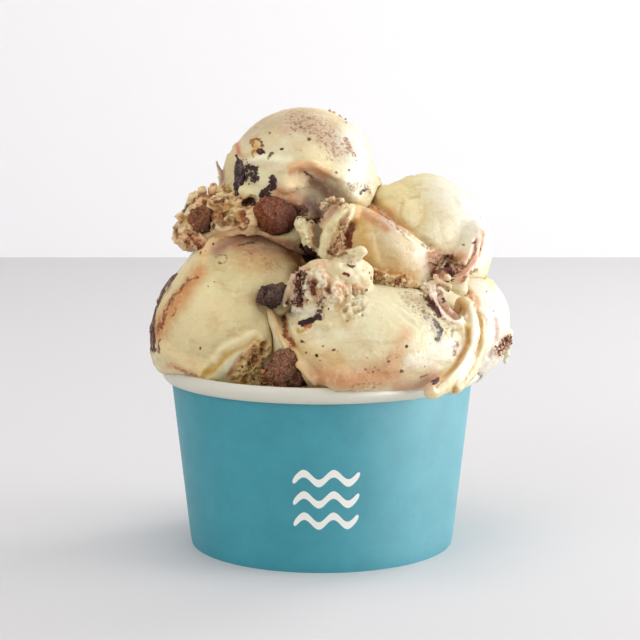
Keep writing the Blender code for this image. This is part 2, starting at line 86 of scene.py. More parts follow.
# Gelato reaching out further than this from the axis stays above the rim
RIM_REACH = 0.0441
RIM_TOP = 0.0522

# How finely the gelato and the chunks are meshed, and how far gelato swells to close its gaps
FINE = 0.00037
FINE_LARGE = 0.00043
FINE_FILL = 0.0008
FINE_CHUNK = 0.00028
SWELL = 0.00018


def tone(red, green, blue):
    """A colour as seen on a screen, 0 to 255, turned into light."""
    shares = [channel / 255 for channel in (red, green, blue)]
    return tuple(c / 12.92 if c <= 0.04045 else ((c + 0.055) / 1.055) ** 2.4 for c in shares)


# Colours of the gelato, and what is left of a chunk's colour under its painted shade
PALE = tone(244, 240, 218)
BUTTER = tone(226, 205, 146)
TAN = tone(206, 164, 104)
PEACH = tone(214, 166, 118)
CARAMEL = tone(176, 112, 58)
OLIVE = tone(176, 152, 78)
RUST = tone(132, 66, 34)
UMBER = tone(78, 38, 18)
CHUNK_SHADE = (0.36, 0.27, 0.25)


# ---- Surfaces as arrays ----


def photo_place(points):
    """Where points fall in the photograph, in pixels."""
    rel = points - np.array(EYE)
    up = rel[:, 1] * math.sin(TILT) + rel[:, 2] * math.cos(TILT)
    depth = rel[:, 1] * math.cos(TILT) - rel[:, 2] * math.sin(TILT)
    middle = PICTURE / 2
    return np.stack([middle + FOCAL_PIXELS * rel[:, 0] / depth,
                     middle - FOCAL_PIXELS * up / depth], axis=1)


def photo_ray(pixel):
    """The direction in which the camera sees a pixel of the photograph."""
    across = (pixel[0] - PICTURE / 2) / FOCAL_PIXELS
    rise = (PICTURE / 2 - pixel[1]) / FOCAL_PIXELS
    forward = Vector((0.0, math.cos(TILT), -math.sin(TILT)))
    upward = Vector((0.0, math.sin(TILT), math.cos(TILT)))
    return (forward + Vector((1, 0, 0)) * across + upward * rise).normalized()


def lattice(points, scale, seed):
    """Smooth noise between -1 and 1, as large as its scale."""
    place = points / scale + np.array([seed * 17.31, seed * 5.77, seed * 11.93])
    cell = np.floor(place).astype(np.int64)
    share = place - cell
    share = share * share * (3 - 2 * share)
    total = np.zeros(len(points))
    for corner in range(8):
        step = np.array([corner & 1, corner >> 1 & 1, corner >> 2 & 1])
        key = (cell + step) @ np.array([374761393, 668265263, 1442695041])
        key = (key ^ (key >> 13)) * 1274126177
        value = ((key ^ (key >> 16)) & 0xFFFF) / 32767.5 - 1
        total += value * np.prod(np.where(step, share, 1 - share), axis=1)
    return total


def churn(points, scale, seed, octaves=4):
    """Several sizes of noise on top of each other."""
    total, size = np.zeros(len(points)), 1.0
    for octave in range(octaves):
        total += size * lattice(points[:, [octave % 3, (octave + 1) % 3, (octave + 2) % 3]],
                                scale / 2.03 ** octave, seed + octave * 3)
        size *= 0.55
    return total


def smoothstep(low, high, value):
    """0 below low and 1 above high, with a soft step between."""
    share = np.clip((value - low) / (high - low), 0, 1)
    return share * share * (3 - 2 * share)


def flowing(path, steps=5):
    """A smooth line through the points of a path, which is a run of x, y, x, y."""
    points = list(np.array(path, float).reshape(-1, 2))
    if len(points) < 3:
        return np.array(points)
    points = [2 * points[0] - points[1]] + points + [2 * points[-1] - points[-2]]
    line = []
    for before, start, end, after in zip(points, points[1:], points[2:], points[3:]):
        for step in range(steps):
            t = step / steps
            line.append(0.5 * (2 * start + (end - before) * t
                               + (2 * before - 5 * start + 4 * end - after) * t ** 2
                               + (3 * start - before - 3 * end + after) * t ** 3))
    return np.array(line + [points[-2]])


def near_line(points, path, reach):
    """Distance to a line. It may be endless for points further away than the reach."""
    line = flowing(path)
    best = np.full(len(points), np.inf)
    for start, end in zip(line, line[1:]):
        low, high = np.minimum(start, end) - reach, np.maximum(start, end) + reach
        near = np.flatnonzero(((points > low) & (points < high)).all(1))
        run = end - start
        rel = points[near] - start
        along = np.clip(rel @ run / max(run @ run, 1e-12), 0, 1)
        away = rel - along[:, None] * run
        best[near] = np.minimum(best[near], np.sqrt((away ** 2).sum(1)))
    return best


def array_of(collection, name, size=3, kind=float):
    """One measure of a mesh's points or edges, a row for each."""
    values = np.zeros(len(collection) * size, np.int32 if kind is int else np.float32)
    collection.foreach_get(name, values)
    return values.reshape(-1, size).astype(kind)


# How far strokes stray from their lines, in pixels, and the size of their waver
SLACK, SLACK_SIZE = 2.4, 5 * MM
SHAKE, SHAKE_SIZE = 1.7, 1.6 * MM

# A roll is a row of balls. Their spacing is a share of their radius.
ROLL_SPACING = 0.45
ROLL_UNEVENNESS = 0.25
ROLL_BUMP = 1 / 600


class Gelato:
    """One scoop as arrays of points, with the colours laid on each.

    The paint is soft. The ink is kept apart, so that its edge can be broken up finely.
    """

    def __init__(self, node, smoothing, voxel, swell=SWELL, rolls=None):
        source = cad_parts[node]
        bm = bmesh.new()
        bm.from_mesh(source.data)
        bmesh.ops.remove_doubles(bm, verts=bm.verts, dist=0.000001)
        mesh = bpy.data.meshes.new(node + "_fine")
        bm.to_mesh(mesh)
        bm.free()
        mesh.materials.clear()
        self.obj = placed("gelato_" + node, mesh)
        self.node = node
        self.voxel = voxel
        self.remesh()
        self.smooth(smoothing)
        if rolls:
            self.add_rolls(rolls)
            self.remesh()
            self.smooth(3)
        self.co += self.normal * swell
        self.write()
        self.colour = np.ones((len(self.co), 3))
        self.inked = np.zeros((len(self.co), 4))
        self.slack = SLACK * np.stack([churn(self.co, SLACK_SIZE, 71, 3),
                                       churn(self.co, SLACK_SIZE, 72, 3)], axis=1)
        self.shake = SHAKE * np.stack([churn(self.co, SHAKE_SIZE, 73, 3),
                                       churn(self.co, SHAKE_SIZE, 74, 3)], axis=1)

    def remesh(self):
        """Join all that the mesh holds into one even skin."""
        remesh = self.obj.modifiers.new("Fine", "REMESH")
        remesh.mode = "VOXEL"
        remesh.voxel_size = self.voxel
        apply_modifiers(self.obj)
        self.read()
        self.edges = array_of(self.obj.data.edges, "vertices", 2, int)
        self.links = np.bincount(self.edges.ravel(), minlength=len(self.co))

    def read(self):
        """Take the mesh's points and normals, and how the camera sees them."""
        self.co = array_of(self.obj.data.vertices, "co")
        self.normal = array_of(self.obj.data.vertex_normals, "vector")
        self.photo = photo_place(self.co)
        sight = np.array(EYE) - self.co
        sight /= np.sqrt((sight ** 2).sum(1))[:, None]
        self.facing = (sight * self.normal).sum(1)

    def write(self):
        """Give the points back to the mesh."""
        mesh = self.obj.data
        mesh.vertices.foreach_set("co", self.co.astype(np.float32).ravel())
        mesh.update()
        self.read()

    def neighbours(self, values):
        """The mean of the neighbours' values at each point."""
        total = np.zeros_like(values)
        for axis in range(values.shape[1]):
            total[:, axis] = (
                np.bincount(self.edges[:, 0], values[self.edges[:, 1], axis], len(values))
                + np.bincount(self.edges[:, 1], values[self.edges[:, 0], axis], len(values)))
        return total / self.links[:, None]

    def smooth(self, times):
        """Even out facets and steps."""
        for _ in range(times):
            self.co += 0.5 * (self.neighbours(self.co) - self.co)
        self.write()

    def hollow(self):
        """How deep a point lies between its neighbours, in mesh steps: below zero on ridges."""
        even = self.co
        for _ in range(3):
            even = self.neighbours(even)
        return ((even - self.co) * self.normal).sum(1) / self.voxel

    def tree(self):
        bm = bmesh.new()
        bm.from_mesh(self.obj.data)
        tree = BVHTree.FromBMesh(bm)
        bm.free()
        return tree

    def add_rolls(self, rolls):
        """Lay rounded bands on the surface, along lines seen in the photograph."""
        surface = self.tree()
        bm = bmesh.new()
        for first, last, lift, *path in rolls.values():
            points = carried(path, surface, self)
            start = points[0]
            for index, point in enumerate(points):
                share = index / max(1, len(points) - 1)
                radius = (first + (last - first) * share) * MM
                radius *= 1 + ROLL_UNEVENNESS * noise.noise(point / ROLL_BUMP)
                if index and (point - start).length < radius * ROLL_SPACING:
                    continue
                start = point
                towards = (EYE - point).normalized()
                place = Matrix.Translation(point + towards * lift * MM)
                bmesh.ops.create_icosphere(bm, subdivisions=2, radius=radius, matrix=place)
        whole = bmesh.new()
        whole.from_mesh(self.obj.data)
        append(whole, bm)
        whole.to_mesh(self.obj.data)
        whole.free()

    def seen(self):
        """How far a point faces the camera, from 0 to 1."""
        return smoothstep(-0.05, 0.2, self.facing)

    def area(self, path, width, soft, waver):
        """A mask along a path, 1 in the middle and 0 outside its width."""
        distance = near_line(self.photo + waver, path, width)
        return smoothstep(0, soft, 1 - distance / width) * self.seen()

    def paint(self, path, width, colour, strength):
        self.tint(strength * self.area(path, width, 1.0, self.slack), colour)

    def tint(self, mask, colour):
        """Mix a colour into the paint."""
        self.colour += np.clip(mask, 0, 1)[:, None] * (np.array(colour) - self.colour)

    def ink(self, mask, colour):
        """Lay ink over the paint; where inks meet, the stronger gives most of the colour."""
        share = mask / (mask + self.inked[:, 3] + 1e-6)
        self.inked[:, :3] += share[:, None] * (np.array(colour) - self.inked[:, :3])
        self.inked[:, 3] = np.maximum(self.inked[:, 3], mask)

    def raised(self, path, width, height):
        """How far a fold lifts the surface, or sinks it where its height is below zero."""
        distance = near_line(self.photo, path, width * 2.6)
        return height * MM * np.exp(-(distance / width) ** 2) * self.seen()

    def lift(self, amount):
        self.co += self.normal * amount[:, None]
        self.write()

    def tear(self, width, height, grain, stretch, low, high, path, seed):
        """Ragged relief, with a colour of its own painted in its hollows as shade and darker
        crumb, and on its ridges as highlight.
        """
        mask = self.area(path, width, 0.5, self.shake * 2)
        near = np.flatnonzero(mask > 0)
        places = self.co[near] * np.array(stretch)
        rough = 1 - 2.4 * np.abs(churn(places, grain * MM, seed, 4))
        rise = np.zeros(len(self.co))
        rise[near] = height * MM * rough * mask[near]
        self.lift(rise)
        # Painted shade in the hollows of the relief, painted highlight on its ridges
        if low:
            self.tint(mask * smoothstep(0.1, 0.8, -rise / (height * MM)), tone(*low))
        if high:
            self.tint(mask * smoothstep(0.2, 0.9, rise / (height * MM)), tone(*high))

    def finish(self, material, slot="gelato"):
        """Store the colours on the mesh, give it its material and smooth shading, attach it to the
        root and hide the frame's part.
        """
        for name, values in (("paint", self.colour), ("ink", self.inked)):
            attribute = self.obj.data.attributes.new(name, "FLOAT_COLOR", "POINT")
            rgba = np.ones((len(self.co), 4), np.float32)
            rgba[:, :values.shape[1]] = np.clip(values, 0, 1)
            attribute.data.foreach_set("color", rgba.ravel())
        self.obj.data.materials.append(material)
        self.obj.data.shade_smooth()
        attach(self.obj, "root")
        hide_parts(self.node)
        return self.obj


def carried(path, surface, scoop):
    """Points of a path laid on a surface, as the camera sees it.

    Where the line runs past the surface it keeps the distance of the point seen nearest to it.
    """
    points = []
    for pixel in flowing(path, 8):
        ray = photo_ray(pixel)
        distance = surface.ray_cast(EYE, ray)[3]
        if not distance:
            nearest = ((scoop.photo - pixel) ** 2).sum(1).argmin()
            distance = (Vector(scoop.co[nearest]) - EYE).length
        points.append(EYE + ray * distance)
    return points


def placed(name, data):
    """A new object in the scene, for a mesh, a light or a camera."""
    obj = bpy.data.objects.new(name, data)
    bpy.context.scene.collection.objects.link(obj)
    return obj


def append(bm, part):
    """Add one bmesh to another, and free it."""
    mesh = bpy.data.meshes.new("part")
    part.to_mesh(mesh)
    part.free()
    bm.from_mesh(mesh)
    bpy.data.meshes.remove(mesh)


def apply_modifiers(obj):
    """Replace an object's mesh by what its modifiers make of it."""
    bpy.context.view_layer.update()
    evaluated = obj.evaluated_get(bpy.context.evaluated_depsgraph_get())
    mesh = bpy.data.meshes.new_from_object(evaluated)
    mesh.name = obj.name
    obj.modifiers.clear()
    obj.data = mesh


# ---- Materials ----


class Nodes:
    """The shader nodes of a material or a group, joined as they are made."""

    def __init__(self, tree):
        self.nodes, self.links = tree.nodes, tree.links

    def node(self, kind, inputs, **settings):
        """A new node. Each input is either given a value or linked to an output."""
        node = self.nodes.new("ShaderNode" + kind)
        for name, value in settings.items():
            setattr(node, name, value)
        for name, value in inputs.items():
            if isinstance(value, bpy.types.NodeSocket):
                self.links.new(value, node.inputs[name])
            else:
                node.inputs[name].default_value = value
        return node

    def math(self, operation, first, second=0.0):
        return self.node("Math", {0: first, 1: second}, operation=operation).outputs[0]

    def ramp(self, value, low, high, start=0.0, end=1.0):
        """A smooth step of a value, between low and high."""
        return self.node("MapRange", {"Value": value, "From Min": low, "From Max": high,
                                      "To Min": start, "To Max": end},
                         interpolation_type="SMOOTHSTEP").outputs["Result"]


def node_group(name, inputs, outputs):
    """An empty shader node group with named sockets, and its nodes, inputs and outputs."""
    group = bpy.data.node_groups.new(name, "ShaderNodeTree")
    group.interface.new_socket(name="Vector", in_out="INPUT", socket_type="NodeSocketVector")
    for socket, value in inputs.items():
        made = group.interface.new_socket(name=socket, in_out="INPUT",
                                          socket_type="NodeSocketFloat")
        made.default_value = value
    for socket in outputs:
        group.interface.new_socket(name=socket, in_out="OUTPUT", socket_type="NodeSocketFloat")
    given, result = group.nodes.new("NodeGroupInput"), group.nodes.new("NodeGroupOutput")
    return group, Nodes(group), given.outputs, result.inputs


def grain_group():
    """Fine grain: a height for Bump and a mask for colour, at a scale given per metre."""
    group, n, given, result = node_group(
        "fine_grain", {"Scale": 900.0, "Detail": 6.0, "Contrast": 1.0}, ("Height", "Mask"))
    height = n.node("TexNoise", {"Vector": given["Vector"], "Scale": given["Scale"],
                                 "Detail": given["Detail"], "Roughness": 0.62}).outputs["Fac"]
    spread = n.node("Math", {0: n.math("SUBTRACT", height, 0.5), 1: given["Contrast"], 2: 0.5},
                    operation="MULTIPLY_ADD", use_clamp=True)
    n.links.new(height, result["Height"])
    n.links.new(spread.outputs[0], result["Mask"])
    return group


def pits_group():
    """Small pits scattered over a surface: 1 in a pit and 0 round it."""
    group, n, given, result = node_group(
        "pits", {"Scale": 500.0, "Size": 0.2, "Spread": 0.5}, ("Mask",))
    cells = n.node("TexVoronoi", {"Vector": given["Vector"], "Scale": given["Scale"]})
    edge = n.ramp(cells.outputs["Distance"], 0.0, given["Size"], 1.0, 0.0)
    channels = n.node("SeparateColor", {"Color": cells.outputs["Color"]})
    chosen = n.math("LESS_THAN", channels.outputs["Red"], given["Spread"])
    n.links.new(n.math("MULTIPLY", edge, chosen), result["Mask"])
    return group


GRAIN = grain_group()
PITS = pits_group()

# The colour sockets of a Mix node, which share their names with its other kinds
MIX_FIRST, MIX_SECOND, MIX_RESULT = 6, 7, 2


class Finish(Nodes):
    """A material under construction."""

    def __init__(self, name, **values):
        self.material = bpy.data.materials.new(name)
        self.material.use_nodes = True
        super().__init__(self.material.node_tree)
        self.shader = self.nodes["Principled BSDF"]
        self.place = self.nodes.new("ShaderNodeTexCoord").outputs["Object"]
        for socket, value in values.items():
            self.shader.inputs[socket.replace("_", " ")].default_value = value

    def group(self, group, place=None, **values):
        """A node group's outputs, given its inputs."""
        return self.node("Group", {"Vector": place or self.place, **values},
                         node_tree=group).outputs

    def attribute(self, name):
        """Colour and strength painted on the mesh."""
        node = self.node("VertexColor", {}, layer_name=name)
        return node.outputs["Color"], node.outputs["Alpha"]

    def mapped(self, scale, turn=(0, 0, 0)):
        return self.node("Mapping", {"Scale": scale, "Rotation": turn,
                                     "Vector": self.place}).outputs["Vector"]

    def mix(self, first, second, share, blend="MIX"):
        """Mix two colours; each may be a plain colour or an output."""
        first, second = ((*colour, 1.0) if isinstance(colour, tuple) else colour
                         for colour in (first, second))
        return self.node("Mix", {"Factor": share, MIX_FIRST: first, MIX_SECOND: second},
                         data_type="RGBA", blend_type=blend).outputs[MIX_RESULT]

    def share(self, mask, low, high, most):
        """A mask stepped smoothly between low and high, up to the most that it may reach."""
        return self.math("MULTIPLY", self.ramp(mask, low, high), most)

    def bump(self, height, distance, strength=1.0, over=None):
        below = {"Normal": over} if over else {}
        return self.node("Bump", {"Distance": distance, "Strength": strength, "Height": height,
                                  **below}).outputs["Normal"]

    def link(self, output, name):
        self.links.new(output, self.shader.inputs[name])


def gelato_finish():
    """Churned cream: soft paint under finely broken ink, with mottling, pores and a sheen."""
    f = Finish("gelato_cream", Subsurface_Weight=0.12, Subsurface_Scale=1.0, IOR=1.36,
               Specular_IOR_Level=0.3, Subsurface_Radius=(0.0026, 0.0016, 0.0009))
    paint, _ = f.attribute("paint")
    ink, inked = f.attribute("ink")
    grain = f.group(GRAIN, Scale=560.0, Detail=5.0, Contrast=2.4)
    veins = f.group(GRAIN, f.mapped((1.0, 0.6, 2.4), (0.3, 0.5, 0.2)), Scale=150.0, Detail=5.0,
                    Contrast=2.6)
    cloud = f.group(GRAIN, Scale=230.0, Detail=4.0, Contrast=2.4)
    flecks = f.group(PITS, Scale=330.0, Size=0.16, Spread=0.10)
    broken = f.group(GRAIN, Scale=1000.0, Detail=6.0, Contrast=3.0)
    colour = f.mix(paint, tone(206, 160, 108), f.share(veins["Mask"], 0.55, 1.0, 0.26), "MULTIPLY")
    colour = f.mix(colour, tone(255, 252, 238), f.share(grain["Mask"], 0.55, 1.0, 0.16))
    colour = f.mix(colour, tone(222, 190, 150), f.share(cloud["Mask"], 0.55, 0.95, 0.22),
                   "MULTIPLY")
    colour = f.mix(colour, tone(168, 128, 88), f.math("MULTIPLY", flecks["Mask"], 0.5))
    edge = f.math("ADD", inked, f.math(
        "MULTIPLY", f.math("SUBTRACT", broken["Mask"], 0.5), 0.5))
    inky = f.math("MULTIPLY", f.ramp(edge, 0.34, 0.68), f.ramp(inked, 0.05, 0.3))
    crumbly = f.mix(ink, tone(176, 130, 104), f.share(broken["Mask"], 0.6, 1.0, 0.35))
    f.link(f.mix(colour, crumbly, inky), "Base Color")
    f.link(f.math("ADD", f.math("MULTIPLY", grain["Mask"], 0.2), f.math(
        "ADD", 0.38, f.math("MULTIPLY", inky, 0.12))), "Roughness")
    fine = f.bump(broken["Height"], 0.00024, 0.8, f.bump(grain["Height"], 0.00036, 0.9))
    f.link(f.bump(f.math("MULTIPLY", broken["Height"], inky), 0.0004, 0.8, fine), "Normal")
    return f.material


def cake_finish(name, dark, lit, sparkle, scale, shaded=False):
    """Rough cake or cookie: dark crumb with lighter grains and sparkles painted as light catching
    the crumb, darker in broad patches, and, when shaded, darker where the mesh carries painted
    shade.
    """
    dark, lit, sparkle = tone(*dark), tone(*lit), tone(*sparkle)
    f = Finish(name, Roughness=0.75, IOR=1.45, Specular_IOR_Level=0.3)
    crumb = f.group(GRAIN, Scale=scale, Detail=6.0, Contrast=2.2)
    broad = f.group(GRAIN, Scale=scale * 0.22, Detail=3.0, Contrast=2.4)
    grains = f.group(PITS, Scale=scale * 1.6, Size=0.4, Spread=0.4)
    # Painted light: grains in the lit colour and sparkle dots stand for light caught by the crumb
    colour = f.mix(dark, lit, f.ramp(crumb["Mask"], 0.1, 0.95))
    colour = f.mix(colour, sparkle, f.math("MULTIPLY", grains["Mask"], 0.45))
    colour = f.mix(colour, dark, f.share(broad["Mask"], 0.5, 0.9, 0.55))
    # Painted shade stored on the mesh, multiplied into the crumb's colour
    if shaded:
        colour = f.mix(colour, f.attribute("paint")[0], 1.0, "MULTIPLY")
    f.link(colour, "Base Color")
    rough = f.bump(crumb["Height"], 0.0007, 0.9)
    f.link(f.bump(grains["Mask"], 0.0003, 0.9, rough), "Normal")
    return f.material


def chocolate_finish(name, dark, lit):
    """Dark, faintly waxy ripple chocolate with a purple cast."""
    f = Finish(name, Roughness=0.40, IOR=1.45)
    streaks = f.group(GRAIN, f.mapped((2.0, 2.0, 0.9)), Scale=620.0, Detail=6.0, Contrast=3.4)
    f.link(f.mix(tone(*dark), tone(*lit), f.ramp(streaks["Mask"], 0.4, 1.0)), "Base Color")
    f.link(f.bump(streaks["Height"], 0.0006, 0.9), "Normal")
    return f.material


def paper_finish(name, colour, printed):
    """Matt coated card with a faint mottle from its fibres."""
    f = Finish(name, Roughness=0.46, IOR=1.5, Specular_IOR_Level=0.45)
    cloud = f.group(GRAIN, Scale=95.0, Detail=5.0, Contrast=2.2)
    fibre = f.group(GRAIN, f.mapped((1.0, 1.0, 0.35)), Scale=1500.0, Detail=3.0, Contrast=1.6)
    mottled = f.mix(colour, tuple(min(1.0, c * 1.22 + 0.012) for c in colour), f.math(
        "MULTIPLY", cloud["Mask"], 0.75 if printed else 0.25))
    mottled = f.mix(mottled, tuple(c * 0.8 for c in colour), f.share(
        fibre["Mask"], 0.55, 1.0, 0.30 if printed else 0.12))
    if printed:
        mottled = f.mix(mottled, tone(236, 235, 228), wave_print(f))
    f.link(mottled, "Base Color")
    f.link(f.bump(fibre["Height"], 0.00005, 0.5), "Normal")
    return f.material


# The white print: three soft waves, one over the other, on the front of the cup
PRINT_PLACE_ROUND = 0.0012
PRINT_HEIGHT = 0.0216
PRINT_HALF_LENGTH = 0.0082
WAVE_SPACING = 0.0062
WAVE_HEIGHT = 0.0014
WAVE_LENGTH = 0.0082
WAVE_HALF_THICKNESS = 0.0011
WAVE_EDGE = 0.00008
WAVE_COUNT = 3


def wave_print(f):
    """A mask, 1 on the printed waves, from the place round the cup and the height."""
    parts = f.node("SeparateXYZ", {0: f.place}).outputs
    turn = f.math("ARCTAN2", f.math("SUBTRACT", parts["X"], AXIS.x),
                  f.math("SUBTRACT", AXIS.y, parts["Y"]))
    along = f.math("SUBTRACT", f.math("MULTIPLY", turn, wall_radius(PRINT_HEIGHT)),
                   PRINT_PLACE_ROUND)
    sway = f.math("SINE", f.math("MULTIPLY", along, math.tau / WAVE_LENGTH))
    height = f.math("SUBTRACT", parts["Z"], f.math("MULTIPLY", sway, WAVE_HEIGHT))
    ends = f.math("MAXIMUM", f.math("SUBTRACT", f.math("ABSOLUTE", along), PRINT_HALF_LENGTH), 0.0)
    mask = 0.0
    for index in range(WAVE_COUNT):
        level = PRINT_HEIGHT + (index - (WAVE_COUNT - 1) / 2) * WAVE_SPACING
        away = f.math("SUBTRACT", height, level)
        far = f.math("SQRT", f.math("ADD", f.math("MULTIPLY", away, away),
                                    f.math("MULTIPLY", ends, ends)))
        inked = f.ramp(far, WAVE_HALF_THICKNESS - WAVE_EDGE, WAVE_HALF_THICKNESS + WAVE_EDGE,
                       1.0, 0.0)
        mask = f.math("MAXIMUM", mask, inked)
    return mask


# ---- The paper cup ----


def wall_radius(height):
    """The wall's outer radius at a height."""
    return BASE_RADIUS + (WALL_TOP_RADIUS - BASE_RADIUS) * height / WALL_TOP


def spun(name, profile, material):
    """Turn a closed profile of (radius, height) about the cup's axis."""
    bm = bmesh.new()
    points = [bm.verts.new((radius, 0.0, height)) for radius, height in profile]
    for point, following in zip(points, points[1:] + points[:1]):
        bm.edges.new((point, following))
    bmesh.ops.spin(bm, geom=bm.verts[:] + bm.edges[:], axis=(0, 0, 1), cent=(0, 0, 0),
                   angle=math.tau, steps=CUP_STEPS, use_merge=True)
    bmesh.ops.remove_doubles(bm, verts=bm.verts, dist=0.000002)
    bmesh.ops.recalc_face_normals(bm, faces=bm.faces)
    bmesh.ops.translate(bm, verts=bm.verts, vec=AXIS)
    return new_piece(name, bm, material)


def new_piece(name, bm, material):
    mesh = bpy.data.meshes.new(name)
    bm.to_mesh(mesh)
    bm.free()
    mesh.materials.append(material)
    mesh.shade_smooth()
    return placed(name, mesh)


def arc(centre, size, first, last, count):
    """Points on an ellipse, between two angles in degrees."""
    angles = [math.radians(first + (last - first) * step / count) for step in range(count + 1)]
    return [(centre[0] + size[0] * math.cos(a), centre[1] + size[1] * math.sin(a))
            for a in angles]


def make_cup():
    """The wall with its hem, the rolled rim, and the material of the base."""
    teal = paper_finish("printed_teal_paper", tone(50, 138, 152), True)
    white = paper_finish("white_card", tone(204, 201, 187), False)
    heights = [WALL_TOP * level / WALL_LEVELS for level in range(WALL_LEVELS + 1)]
    outer = [(wall_radius(height), height) for height in heights]
    outer[0] = (wall_radius(0) - FOOT_INSET, 0.0)
    inner = [(wall_radius(h) - PAPER, h) for h in (WALL_TOP, HEM_HEIGHT)]
    hem = [(wall_radius(HEM_HEIGHT) - HEM_THICKNESS, HEM_HEIGHT),
           (wall_radius(0) - HEM_THICKNESS, 0.0)]
    wall = spun("paper_wall", outer + inner + hem, teal)
    wall.data.set_sharp_from_angle(angle=math.radians(50))
    wall.data.materials.append(white)
    for face in wall.data.polygons:
        outward = Vector((face.center.x - AXIS.x, face.center.y - AXIS.y, 0)).normalized()
        face.material_index = 0 if face.normal.dot(outward) > 0.5 else 1
    middle = (WALL_TOP_RADIUS + ROLL_HALF_WIDTH - PAPER, ROLL_HEIGHT)
    size = (ROLL_HALF_WIDTH, ROLL_HALF_HEIGHT)
    curl = arc(middle, size, *CURL_ANGLES, CURL_STEPS)
    inside = [(middle[0] + (r - middle[0]) * CURL_HOLLOW[0],
               middle[1] + (h - middle[1]) * CURL_HOLLOW[1]) for r, h in reversed(curl)]
    rim = spun("rolled_rim", curl + inside, white)
    for piece in (wall, rim):
        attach(piece, "root")
        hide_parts("cup_wall")
    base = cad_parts["cup_base"]
    for material_slot in base.material_slots:
        material_slot.material = white


# ---- Strokes ----

# Every stroke ends with its path through the photograph, as x, y, x, y in pixels. Before that
# stand its measures, and colours as they are seen on a screen. Widths are half widths, in pixels.
#   Rolls: radius at either end in mm, and lift towards the camera in mm.
#   Folds: width and height in mm, below zero where it is sunk.
#   Tears: width, height in mm, grain in mm and its stretch, colours of hollows and of ridges,
#       painted as shade and as highlight.
#   Paint and ink: width, colour and strength.
# A speck is x, y and size in pixels. A press, at x, y, moves what is round it sideways: reach in
# pixels and shift in mm. A tucked scoop doesn't hang down over the rim.
EVEN = (1.0, 1.0, 1.0)
UPRIGHT = (1.0, 1.0, 0.4)
SLANTED = (0.7, 1.0, 1.0)

LEFT = {"base": (216, 200, 152), "tucked": True}
LEFT["rolls"] = {
    "lip": (1.3, 1.5, -0.7, 204, 254, 212, 243, 226, 234, 241, 227, 255, 224),
    "ridge at the foot": (1.1, 1.1, -0.7, 254, 332, 229, 345, 212, 360, 205, 371),
    "second ridge": (1, 0.9, -0.6, 247, 352, 237, 362, 227, 371),
    "edge of the crumb": (1.2, 1, -0.4, 262, 340, 250, 348, 240, 358),
}
LEFT["folds"] = {
    "hollow under the lip": (7, -0.9, 222, 252, 242, 241, 262, 238, 285, 242),
    "groove at the foot": (3.5, -0.8, 256, 339, 229, 354, 206, 375),
    "soft dent": (6, -0.4, 220, 306, 233, 314, 237, 322),
    "side dent": (6, -0.5, 170, 292, 162, 312, 158, 334),
}
LEFT["tears"] = {
    "golden crumb": (14, 1, 2.6, EVEN, (184, 136, 74), (232, 204, 142), 260, 350, 250, 363,
        243, 380),
    "side streaks": (10, 0.2, 1, SLANTED, None, None, 190, 284, 172, 306, 160, 330),
}
LEFT["paint"] = {
    "tan top": (24, (198, 156, 98), 0.75, 240, 262, 275, 260, 300, 262),
    "grey olive top": (13, (186, 164, 116), 0.7, 214, 262, 220, 246, 240, 254),
    "olive shade": (18, (220, 198, 144), 0.5, 262, 292, 282, 280, 296, 268),
    # The lip's light orange colour with a painted highlight along it
    "lip": (8, (228, 188, 138), 1, 203, 256, 212, 244, 226, 235, 241, 227, 262, 226),
    "mauve band": (11, (160, 116, 92), 1, 218, 250, 242, 239, 268, 238, 298, 244),
    "mauve fringe": (7, (186, 132, 96), 0.7, 236, 250, 262, 250, 290, 252),
    "pale patch": (26, (224, 204, 156), 0.8, 196, 330, 208, 316, 220, 300),
    "pale middle": (18, (226, 212, 164), 0.7, 200, 300, 214, 286),
    "greenish patch": (16, (204, 192, 140), 0.7, 228, 270, 226, 286),
    "orange side": (15, (202, 142, 88), 0.95, 200, 272, 186, 290, 172, 308, 158, 334),
    "warm foot": (12, (236, 212, 160), 0.8, 168, 350, 190, 364, 204, 374),
    "dark edge": (6, (118, 74, 56), 1, 166, 284, 157, 299, 152, 314, 150, 332, 151, 350),
    "groove": (5, (190, 152, 70), 1, 256, 340, 229, 355, 206, 376),
    "ridge light": (5, (240, 224, 180), 0.9, 256, 331, 229, 344, 212, 359),
    "cool stripe": (8, (206, 204, 168), 0.9, 246, 350, 232, 361, 219, 373),
    "mauve stripe": (4.5, (176, 128, 104), 0.9, 253, 346, 240, 358, 228, 374),
    "crumb gold": (15, (198, 154, 84), 1, 262, 347, 249, 362, 240, 382),
    "shade by the crevice": (14, (120, 78, 44), 1, 290, 252, 300, 262, 296, 278),
    "yellow line": (4, (206, 170, 74), 0.8, 212, 364, 205, 377),
    "shade by the front scoop": (13, (206, 170, 114), 0.6, 262, 300, 272, 325, 282, 346, 294, 362),
    "pink foot": (5, (212, 158, 122), 0.8, 170, 366, 183, 371, 196, 375),
}
